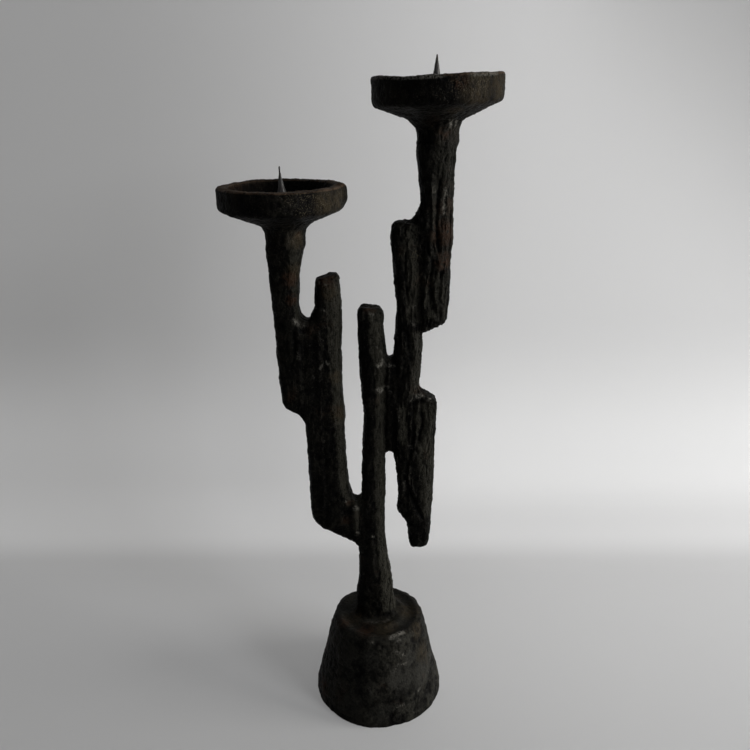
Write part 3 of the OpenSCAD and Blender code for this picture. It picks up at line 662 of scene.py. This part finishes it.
# ---- the iron skin and its cutting

def iron_skin():
    """All the iron solids melted into one skin, with the corners between them filled, and its marks."""
    bm = bmesh.new()
    for name in IRON_NODES:
        bm.from_mesh(NODES[name].data)
    bmesh.ops.remove_doubles(bm, verts=bm.verts, dist=SAME_PLACE * MM)
    for x, z, along_x, along_z, size in GUSSETS:
        x, z, size = x - along_x, z - along_z, size + 2
        corner = [(x, z), (x + along_x * size, z), (x, z + along_z * size)]
        bm.from_mesh(cell(corner, -GUSSET_DEPTH, GUSSET_DEPTH))
    mesh = bpy.data.meshes.new("solids")
    bm.to_mesh(mesh)
    bm.free()
    mesh = melted(mesh, SKIN_GRID)
    mesh = melted(moved(mesh, lambda v: FILLET_REACH), SKIN_GRID)
    moved(mesh, lambda v: -FILLET_REACH)
    smooth_out(mesh)
    values = hammered(mesh)
    return mesh, Marks(mesh, values)


def cell(outline, front=-FAR, back=FAR):
    """A block with a given outline seen from the front, between two depths."""
    bm = bmesh.new()
    corners = [bm.verts.new(Vector((x, front, z)) * MM) for x, z in outline]
    face = bm.faces.new(corners)
    grown = bmesh.ops.extrude_face_region(bm, geom=[face])["geom"]
    far_side = [g for g in grown if isinstance(g, bmesh.types.BMVert)]
    bmesh.ops.translate(bm, verts=far_side, vec=(0, (back - front) * MM, 0))
    bmesh.ops.recalc_face_normals(bm, faces=bm.faces)
    mesh = bpy.data.meshes.new("cell")
    bm.to_mesh(mesh)
    bm.free()
    return mesh


def block(x0, x1, z0, z1, front=-FAR, back=FAR):
    return cell([(x0, z0), (x1, z0), (x1, z1), (x0, z1)], front, back)


def split(mesh, tool_mesh):
    """The part of a mesh inside a cell, and the part outside it."""
    halves = []
    tool = holder("cell", tool_mesh)
    for operation in ("INTERSECT", "DIFFERENCE"):
        piece = holder("half", mesh.copy())
        cut = piece.modifiers.new("cut", "BOOLEAN")
        cut.operation = operation
        cut.solver = "MANIFOLD"
        cut.object = tool
        halves.append(applied(piece, operation.lower()))
    bpy.data.objects.remove(tool)
    return halves


def split_beads(mesh, name, points):
    """Cuts the front and the back bead of a valley out of a mesh. Returns them and the rest."""
    found = {}
    outline = [(x - BEAD_HALF, z) for x, z in points] + [(x + BEAD_HALF, z) for x, z in reversed(points)]
    front, back = name + "_front", name + "_back"
    found[front], mesh = split(mesh, cell(outline, back=high(front).y))
    found[back], mesh = split(mesh, cell(outline, front=low(back).y))
    return found, mesh


def bead_line(name):
    """The middle of a bead, from its lower to its upper end, seen from the front."""
    return (low(name).x + high(name).x) / 2, low(name).z, high(name).z


def left_arm_cell():
    """Round the left arm, with the weld that carries it."""
    weld_x, foot, top = bead_line("left_arm_weld")
    return cell([
        (-FAR, foot - WELD_HALF), (weld_x + WELD_HALF, foot - WELD_HALF), (weld_x + WELD_HALF, top),
        (weld_x, top + WELD_HALF), (weld_x, 2 * FAR), (-FAR, 2 * FAR),
    ])


def cut_left_arm(left):
    """Cuts the left arm into its weld, its beads and its bars."""
    found = {}
    weld_x, _, weld_top = bead_line("left_arm_weld")
    found["left_arm_weld"], left = split(left, block(weld_x - WELD_HALF, FAR, 0, weld_top + WELD_HALF))
    outer_x, outer_low, outer_high = bead_line("left_outer_weld_front")
    inner_x, inner_low, inner_high = bead_line("left_inner_weld_front")
    beads, left = split_beads(left, "left_outer_weld", [(outer_x, outer_low), (outer_x, outer_high - BEAD_END)])
    found.update(beads)
    beads, left = split_beads(left, "left_inner_weld", [(inner_x, inner_low), (inner_x, inner_high - BEAD_END)])
    found.update(beads)
    notch = high("left_middle_bar").z
    notch_x = (outer_x + inner_x) / 2
    outer_foot = low("left_outer_bar").z - WELD_HALF
    outer = [
        (-FAR, outer_foot), (outer_x, outer_foot), (outer_x, notch - WELD_HALF),
        (notch_x, notch), (notch_x, 2 * FAR), (-FAR, 2 * FAR),
    ]
    found["left_outer_bar"], left = split(left, cell(outer))
    inner = [
        (inner_x, 0), (FAR, 0), (FAR, 2 * FAR), (notch_x, 2 * FAR), (notch_x, notch), (inner_x, notch - WELD_HALF),
    ]
    found["left_inner_bar"], found["left_middle_bar"] = split(left, cell(inner))
    return found


def right_arm_cell():
    """Round the right arm, with the web that carries it. Its upper edge leans away from the long bar."""
    web_x, foot, top = bead_line("right_arm_weld")
    arm_foot = low("right_lower_bar").z
    return cell([
        (FAR, arm_foot - WELD_HALF), (web_x + WEB_HALF, arm_foot - WELD_HALF), (web_x, foot - 2 * WELD_HALF),
        (web_x - WEB_HALF, foot - WEB_HALF), (web_x - WEB_HALF, top), (web_x, top + WEB_HALF),
        (web_x - 2 * WEB_HALF, 2 * FAR), (FAR, 2 * FAR),
    ])


def cut_right_arm(right):
    """Cuts the right arm into its web, its beads and its bars."""
    found = {}
    web_x, web_foot, web_top = bead_line("right_arm_weld")
    web = [
        (-FAR, web_foot - WEB_HALF), (web_x, web_foot - 2 * WEB_HALF), (web_x + WEB_HALF, web_foot),
        (web_x + WEB_HALF, web_top), (web_x, web_top + WEB_HALF), (-FAR, web_top + WEB_HALF),
    ]
    found["right_arm_weld"], right = split(right, cell(web))
    upper_x, upper_low, upper_high = bead_line("right_upper_weld_front")
    beads, right = split_beads(right, "right_upper_weld", [(upper_x, upper_low), (upper_x, upper_high)])
    found.update(beads)
    name = "right_lower_weld"
    lower_foot = (low(name + "_front").x + BEAD_END, low(name + "_front").z)
    lower_head = (high(name + "_front").x - BEAD_END, high(name + "_front").z)
    beads, right = split_beads(right, name, [lower_foot, lower_head])
    found.update(beads)
    long_top = high("right_long_bar").z
    upper_foot = low("right_upper_bar").z - WELD_HALF
    upper = [
        (upper_x, upper_foot), (FAR, upper_foot), (FAR, 2 * FAR), (-FAR, 2 * FAR),
        (-FAR, long_top), (upper_x, long_top - WELD_HALF),
    ]
    found["right_upper_bar"], right = split(right, cell(upper))
    long_foot = low("right_long_bar").z
    lower_top = high("right_lower_bar").z + WELD_HALF
    lower = [
        (-FAR, 0), (FAR, 0), (FAR, lower_top), (lower_head[0], lower_top), lower_head, lower_foot,
        (lower_foot[0], long_foot), (-FAR, long_foot),
    ]
    found["right_lower_bar"], found["right_long_bar"] = split(right, cell(lower))
    return found


def cut_apart(skin):
    """Cuts the skin along the weld lines. Returns one mesh for each iron node."""
    found = {}
    found["base"], skin = split(skin, block(-FAR, FAR, -FAR, low("centre_bar").z))
    between_pans = (high("left_pan").x + low("right_pan").x) / 2
    found["left_pan"], skin = split(skin, block(-FAR, between_pans, low("left_pan").z, 2 * FAR))
    found["right_pan"], skin = split(skin, block(between_pans, FAR, low("right_pan").z, 2 * FAR))
    left, skin = split(skin, left_arm_cell())
    found.update(cut_left_arm(left))
    right, found["centre_bar"] = split(skin, right_arm_cell())
    found.update(cut_right_arm(right))
    return found


def without_crumbs(mesh):
    """Keeps only the largest of the closed parts that a mesh holds."""
    bm = bmesh.new()
    bm.from_mesh(mesh)
    parts, left = [], set(bm.verts)
    while left:
        part, fringe = set(), {left.pop()}
        while fringe:
            part |= fringe
            fringe = {e.other_vert(v) for v in fringe for e in v.link_edges} - part
        left -= part
        parts.append(part)
    largest = max(parts, key=len)
    bmesh.ops.delete(bm, geom=[v for v in bm.verts if v not in largest], context="VERTS")
    bm.to_mesh(mesh)
    bm.free()
    return mesh


def thinned(mesh, share):
    """A mesh with a share of its faces, fewest where it is smooth."""
    piece = holder("thinning", mesh)
    fewer = piece.modifiers.new("fewer", "DECIMATE")
    fewer.ratio = share
    return applied(piece, "thinned")


# ---- finishes

class Finish:
    """The node tree of one material, with a short call for each kind of node that is used."""

    def __init__(self, name):
        self.material = bpy.data.materials.new(name)
        self.material.use_nodes = True
        self.tree = self.material.node_tree
        self.shader = self.tree.nodes["Principled BSDF"]
        self.place = self.add("TexCoord").outputs["Object"]

    def add(self, kind, **settings):
        made = self.tree.nodes.new("ShaderNode" + kind)
        for key, value in settings.items():
            setattr(made, key, value)
        return made

    def put(self, socket, value):
        """Links a socket to an output, or sets it to a plain value."""
        if isinstance(value, bpy.types.NodeSocket):
            self.tree.links.new(value, socket)
        else:
            socket.default_value = value

    def noise(self, scale, detail, rough, stretch=None):
        made = self.add("TexNoise")
        place = self.place
        if stretch:
            turned = self.add("Mapping")
            self.put(turned.inputs["Vector"], place)
            turned.inputs["Scale"].default_value = stretch
            place = turned.outputs["Vector"]
        self.put(made.inputs["Vector"], place)
        made.inputs["Scale"].default_value = scale
        made.inputs["Detail"].default_value = detail
        made.inputs["Roughness"].default_value = rough
        return made.outputs["Fac"]

    def stored(self, name):
        """A value that each point of the mesh carries."""
        return self.add("Attribute", attribute_name=name).outputs["Fac"]

    def between(self, value, start, end, low_value=0.0, high_value=1.0):
        """Maps a value from start..end to low_value..high_value, and no further."""
        made = self.add("MapRange", interpolation_type="SMOOTHSTEP")
        settings = {"Value": value, "From Min": start, "From Max": end, "To Min": low_value, "To Max": high_value}
        for name, setting in settings.items():
            self.put(made.inputs[name], setting)
        return made.outputs["Result"]

    def sum(self, operation, a, b):
        made = self.add("Math", operation=operation)
        self.put(made.inputs[0], a)
        self.put(made.inputs[1], b)
        return made.outputs["Value"]

    def both(self, a, b):
        return self.sum("MULTIPLY", a, b)

    def most(self, a, b):
        return self.sum("MAXIMUM", a, b)

    def mix(self, *parts):
        """The sum of some values, each with its weight."""
        total = None
        for value, weight in parts:
            part = self.both(value, weight)
            total = part if total is None else self.sum("ADD", total, part)
        return total

    def blend(self, share, a, b):
        made = self.add("Mix", data_type="RGBA")
        self.put(made.inputs["Factor"], share)
        for name, value in (("A", a), ("B", b)):
            socket = [s for s in made.inputs if s.name == name and s.type == "RGBA"][0]
            self.put(socket, value if isinstance(value, bpy.types.NodeSocket) else (*value, 1.0))
        return [s for s in made.outputs if s.type == "RGBA"][0]

    def places(self, spots):
        """1 in the middle of each spot, falling to 0 at its radius."""
        total = None
        for middle, radius in spots:
            off = self.add("VectorMath", operation="DISTANCE")
            self.put(off.inputs[0], self.place)
            off.inputs[1].default_value = Vector(middle) * MM
            near = self.between(off.outputs["Value"], radius * MM, 0.25 * radius * MM)
            total = near if total is None else self.most(total, near)
        return total

    def bump(self, height, strength, distance, under=None):
        made = self.add("Bump")
        made.inputs["Strength"].default_value = strength
        made.inputs["Distance"].default_value = distance * MM
        self.put(made.inputs["Height"], height)
        if under is not None:
            self.put(made.inputs["Normal"], under)
        return made.outputs["Normal"]


class Iron(Finish):
    """Old rough iron, in layers from its scale up to the marks on it."""

    def __init__(self, name, look):
        super().__init__(name)
        self.look = look
        for part, settings in IRON_NOISES.items():
            setattr(self, part, self.noise(*settings))
        self.depth, self.flat, self.edge, self.pale, self.brown = (
            self.stored(part) for part in ("depth", "ground", "edge", "pale_and_highlit", "rim")
        )

    def scale(self):
        """Nearly black in the hollows, and a little lighter on the faces and the high spots."""
        high_spots = self.between(self.depth, 0.8, 0.2)
        tone = self.mix((self.mottle, 0.4), (self.grit, 0.1), (self.patches, 0.25), (high_spots, 0.25))
        colour = self.blend(self.between(tone, 0.36, 0.52), self.look.dark, self.look.mid)
        return self.blend(self.between(tone, 0.5, 0.68), colour, self.look.lit)

    def flats(self, colour):
        """Grey on the flats and the patches, a little patchy: painted light on the bars' flats, and partly on the
        patches.
        """
        patchy = self.between(self.mix((self.mottle, 0.5), (self.streaks, 0.5)), 0.36, 0.54, 0.4, 1.0)
        large = self.between(self.sum("ADD", self.patches, self.grit), 0.8, 1.05, 0.75, 1.0)
        return self.blend(self.both(self.flat, self.both(patchy, large)), colour, self.look.ground)

    def bloom(self, colour):
        """Tan bloom in its places."""
        bloom = self.both(self.places(TAN_PLACES), self.between(self.mottle, 0.3, 0.65, 0.15, 0.6))
        return self.blend(bloom, colour, TAN)

    def worn_and_highlit(self, colour):
        """Paler along the edges that stand out: wear, and a painted highlight on the ridges."""
        worn_and_highlit = self.both(self.edge, self.between(self.grit, 0.4, 0.6))
        return self.blend(self.both(worn_and_highlit, 0.7), colour, DUST_AND_PAINTED_HIGHLIGHT)

    def rust(self, colour):
        """Stray rust everywhere and stronger rust in its places."""
        stray = self.between(self.sum("ADD", self.patches, self.both(self.grit, 0.3)), 0.76, 0.92)
        local = self.both(self.places(RUST_PLACES), self.between(self.mottle, 0.36, 0.54))
        rusty = self.most(self.both(stray, self.look.rust), self.both(local, 0.65))
        return self.blend(rusty, colour, RUST)

    def rims(self, colour):
        """Brown on the rims of the pans, which is rust, and painted light in brown on the wells' left inner walls.
        """
        small = self.between(self.mottle, 0.32, 0.52, 0.1, 1.0)
        large = self.between(self.patches, 0.38, 0.58, 0.5, 1.0)
        return self.blend(self.both(self.brown, self.both(small, large)), colour, RIM_RUST_AND_PAINTED_LIGHT)

    def pits(self, colour):
        """Black in the pits and cracks."""
        pitted = self.most(self.between(self.depth, 0.72, 0.95), self.between(self.grit, 0.44, 0.36, 0.0, 0.75))
        return self.blend(self.both(pitted, self.look.pits), colour, SOOT)

    def chips(self, colour):
        """Pale chips and scratches."""
        start = self.look.chips
        chips = self.both(self.between(self.specks, start, start + 0.08), self.between(self.mottle, 0.42, 0.56))
        lines = self.between(self.patches, 0.45, 0.6, 0.0, self.look.grain)
        scratches = self.both(self.between(self.streaks, 0.62, 0.7), lines)
        return self.blend(self.both(self.most(chips, scratches), 0.6), colour, DUST_AND_PAINTED_HIGHLIGHT)

    def gold(self, colour):
        """Gold specks in their places."""
        specks = self.both(self.places(GOLD_PLACES), self.between(self.specks, 0.55, 0.67))
        return self.blend(self.both(specks, 0.6), colour, GOLD)

    def pale_and_highlit(self, colour):
        """The pale marks, some of them painted highlights."""
        return self.blend(self.both(self.pale, self.between(self.grit, 0.4, 0.58, 0.15, 1.0)), colour, CHALK_AND_HIGHLIGHT)

    def bumps(self):
        bumps = self.bump(self.mottle, 0.8, 1.0)
        bumps = self.bump(self.streaks, self.look.grain, 0.9, bumps)
        bumps = self.bump(self.grit, 0.9, 0.5, bumps)
        return self.bump(self.fine, 0.5, 0.15, bumps)


def iron(name, look):
    f = Iron(name, look)
    colour = f.scale()
    for layer in (f.flats, f.bloom, f.worn_and_highlit, f.rust, f.rims, f.pits, f.chips, f.gold, f.pale_and_highlit):
        colour = layer(colour)
    f.put(f.shader.inputs["Base Color"], colour)
    f.put(f.shader.inputs["Roughness"], f.between(f.mottle, 0.3, 0.7, 0.5 - look.shine, 0.72 - look.shine))
    f.shader.inputs["Specular IOR Level"].default_value = SHEEN
    f.put(f.shader.inputs["Normal"], f.bumps())
    return f.material


def steel(name, dark, lit, rough, metallic):
    """Plain steel with fine drawn lines and a little dirt."""
    f = Finish(name)
    lines = f.noise(900.0, 3.0, 0.6, stretch=(1.0, 1.0, 0.12))
    dirt = f.noise(260.0, 4.0, 0.6)
    colour = f.blend(f.between(lines, 0.3, 0.7), dark, lit)
    colour = f.blend(f.between(dirt, 0.55, 0.75, 0.0, 0.7), colour, DIRT)
    f.put(f.shader.inputs["Base Color"], colour)
    f.put(f.shader.inputs["Roughness"], f.between(dirt, 0.3, 0.7, rough, rough + 0.2))
    f.shader.inputs["Metallic"].default_value = metallic
    f.put(f.shader.inputs["Normal"], f.bump(lines, 0.3, 0.05, f.bump(dirt, 0.3, 0.1)))
    return f.material


def seen(tree):
    """1 for what the camera sees, and for what metal and glass show of it."""
    ray = tree.nodes.new("ShaderNodeLightPath")
    total = ray.outputs["Is Camera Ray"]
    for kind in ("Is Glossy Ray", "Is Transmission Ray"):
        made = tree.nodes.new("ShaderNodeMath")
        made.operation = "MAXIMUM"
        tree.links.new(total, made.inputs[0])
        tree.links.new(ray.outputs[kind], made.inputs[1])
        total = made.outputs["Value"]
    return total


def clear_from_behind(f):
    """Lets the camera see through a sheet from its back, so that the object shows from all sides."""
    mixed = f.add("MixShader")
    from_camera = f.add("LightPath").outputs["Is Camera Ray"]
    f.put(mixed.inputs[0], f.both(f.add("NewGeometry").outputs["Backfacing"], from_camera))
    f.put(mixed.inputs[1], f.shader.outputs["BSDF"])
    f.put(mixed.inputs[2], f.add("BsdfTransparent").outputs["BSDF"])
    f.put(f.tree.nodes["Material Output"].inputs["Surface"], mixed.outputs["Shader"])


def paper(name):
    """The seamless paper, in painted light and shade: darker at the left and in the upper right corner, palest at
    its wall's foot.
    """
    f = Finish(name)
    at = f.add("SeparateXYZ")
    f.put(at.inputs["Vector"], f.place)
    x, z = at.outputs["X"], at.outputs["Z"]
    grey = {part: f.between(x, *reach, *PAPER_PAINTED_LIGHT[part]) for part, reach in PAPER_SIDES.items()}
    # Painted shade: the wall's upper right corner is made darker
    corner = f.both(f.between(f.sum("ADD", x, z), *CORNER_RISE), f.between(x, *CORNER_SIDE))
    shade = f.between(corner, 0.0, 1.0, grey["wall"], PAPER_PAINTED_LIGHT["corner"])
    for axis, start, end, part in PAPER_STEPS:
        shade = f.between(at.outputs[axis], start, end, shade, grey[part])
    tinted = f.add("CombineColor")
    for channel in ("Red", "Green", "Blue"):
        f.put(tinted.inputs[channel], shade)
    colour = tinted.outputs["Color"]
    f.put(f.shader.inputs["Base Color"], colour)
    f.shader.inputs["Roughness"].default_value = 0.95
    f.shader.inputs["Specular IOR Level"].default_value = 0.1
    # Painted glow: the paper's colour again as light, which only the camera and reflections see
    f.put(f.shader.inputs["Emission Color"], colour)
    f.put(f.shader.inputs["Emission Strength"], f.both(seen(f.tree), PAPER_PAINTED_GLOW))
    clear_from_behind(f)
    return f.material


def make_finishes():
    finishes = {name: iron(name, look) for name, look in LOOKS.items()}
    finishes["spike_steel"] = steel("spike_steel", (0.03, 0.029, 0.028), (0.09, 0.086, 0.082), 0.42, 0.9)
    finishes["fastener_steel"] = steel("fastener_steel", (0.3, 0.29, 0.28), (0.5, 0.49, 0.47), 0.35, 1.0)
    return finishes


# ---- pieces

def finish_piece(piece, node, slot, finishes):
    piece.data.materials.clear()
    piece.data.materials.append(finishes[slot])
    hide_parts(node)
    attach(piece, BODY)


def slot_of(node):
    return next(row["material_slot"] for row in frame["record"]["subparts"] if row["node"] == node)


def shaded(mesh):
    """Smooth shading, with a hard edge where a piece was cut."""
    mesh.shade_smooth()
    mesh.set_sharp_from_angle(angle=math.radians(HARD_EDGE))
    return mesh


def make_iron(finishes):
    skin, marks = iron_skin()
    for node, mesh in cut_apart(skin).items():
        mesh = without_crumbs(mesh)
        if node == "base":
            mesh = thinned(mesh, BASE_FACES_KEPT)
        mesh.name = "iron_" + node
        marks.give(mesh)
        piece = holder("iron_" + node, shaded(mesh))
        finish_piece(piece, node, slot_of(node), finishes)


def make_spike(node, bend, slender, finishes):
    """A hand-ground spike: its upper part is bent a little, and its skin is uneven."""
    bm = bmesh.new()
    bm.from_mesh(NODES[node].data)
    bmesh.ops.remove_doubles(bm, verts=bm.verts, dist=SAME_PLACE * MM)
    mesh = bpy.data.meshes.new(node)
    bm.to_mesh(mesh)
    bm.free()
    mesh = melted(mesh, SPIKE_GRID)
    smooth_out(mesh)
    tip = high(node).z
    for v in mesh.vertices:
        rise = clamp((v.co.z / MM - (tip - BENT_LENGTH)) / BENT_LENGTH)
        v.co.x += bend * rise * rise * MM

    def shift(v):
        p = v.co / MM
        above_foot = soft_step(p.z, tip - SPIKE_SHOWN, tip - 0.6 * SPIKE_SHOWN)
        return layers(p, SPIKE_GRIT) - slender * above_foot * soft_step(p.z, tip, tip - TIP_KEPT)

    moved(mesh, shift)
    piece = holder("forged_" + node, shaded(mesh))
    finish_piece(piece, node, slot_of(node), finishes)


def dress_fasteners(finishes):
    for node in FASTENER_NODES:
        mesh = NODES[node].data
        mesh.materials.clear()
        mesh.materials.append(finishes["fastener_steel"])


# ---- the studio

def make_camera():
    data = bpy.data.cameras.new("camera")
    data.lens = CAMERA_LENS
    data.sensor_width = SENSOR
    data.clip_start = 0.01
    camera = bpy.data.objects.new("camera", data)
    bpy.context.scene.collection.objects.link(camera)
    camera.matrix_world = (
        Matrix.Translation(Vector(CAMERA_PLACE) * MM)
        @ Matrix.Rotation(math.radians(CAMERA_TILT), 4, "X")
        @ Matrix.Rotation(math.radians(CAMERA_ROLL), 4, "Z")
    )
    bpy.context.scene.camera = camera


def make_backdrop():
    """A sheet of paper that lies on the table and rises behind the object in a soft bend."""
    bend_foot = PAPER_WALL - PAPER_BEND
    bm = bmesh.new()
    points = [(PAPER_START, 0.0), (bend_foot, 0.0)]
    for i in range(1, BEND_STEPS + 1):
        a = math.radians(90) * i / BEND_STEPS
        points.append((bend_foot + PAPER_BEND * math.sin(a), PAPER_BEND - PAPER_BEND * math.cos(a)))
    points.append((PAPER_WALL, PAPER_TOP))
    line = [bm.verts.new(Vector((-PAPER_HALF_WIDTH, y, z)) * MM) for y, z in points]
    edges = [bm.edges.new(pair) for pair in zip(line, line[1:])]
    grown = bmesh.ops.extrude_edge_only(bm, edges=edges)["geom"]
    far_side = [g for g in grown if isinstance(g, bmesh.types.BMVert)]
    bmesh.ops.translate(bm, verts=far_side, vec=(2 * PAPER_HALF_WIDTH * MM, 0, 0))
    bm.normal_update()
    bm.faces.ensure_lookup_table()
    if bm.faces[0].normal.z < 0:
        bmesh.ops.reverse_faces(bm, faces=bm.faces)
    for face in bm.faces:
        face.smooth = True
    mesh = bpy.data.meshes.new("backdrop")
    bm.to_mesh(mesh)
    bm.free()
    backdrop = holder("backdrop", mesh)
    mesh.materials.append(paper("paper"))


def add_lamp(name, place, target, size, power, colour):
    data = bpy.data.lights.new(name, "AREA")
    data.shape = "RECTANGLE"
    data.size, data.size_y = (s * MM for s in size)
    data.energy = power
    data.color = colour
    lamp = bpy.data.objects.new(name, data)
    bpy.context.scene.collection.objects.link(lamp)
    lamp.location = Vector(place) * MM
    lamp.rotation_euler = (Vector(target) - Vector(place)).to_track_quat("-Z", "Y").to_euler()


def make_lights():
    for name, settings in LAMPS.items():
        add_lamp(name, *settings)


def make_room():
    """Plain grey round the scene: a weak light on the object, and brighter where it is seen."""
    world = bpy.data.worlds.new("room")
    world.use_nodes = True
    tree = world.node_tree
    background = tree.nodes["Background"]
    background.inputs["Color"].default_value = ROOM
    strength = tree.nodes.new("ShaderNodeMapRange")
    strength.inputs["To Min"].default_value = ROOM_LIGHT
    strength.inputs["To Max"].default_value = ROOM_SEEN
    tree.links.new(seen(tree), strength.inputs["Value"])
    tree.links.new(strength.outputs["Result"], background.inputs["Strength"])
    bpy.context.scene.world = world


make_camera()
make_backdrop()
make_lights()
make_room()
finishes = make_finishes()
make_iron(finishes)
for node, (bend, slender) in SPIKES.items():
    make_spike(node, bend, slender, finishes)
dress_fasteners(finishes)
bpy.context.scene.view_settings.view_transform = "Standard"
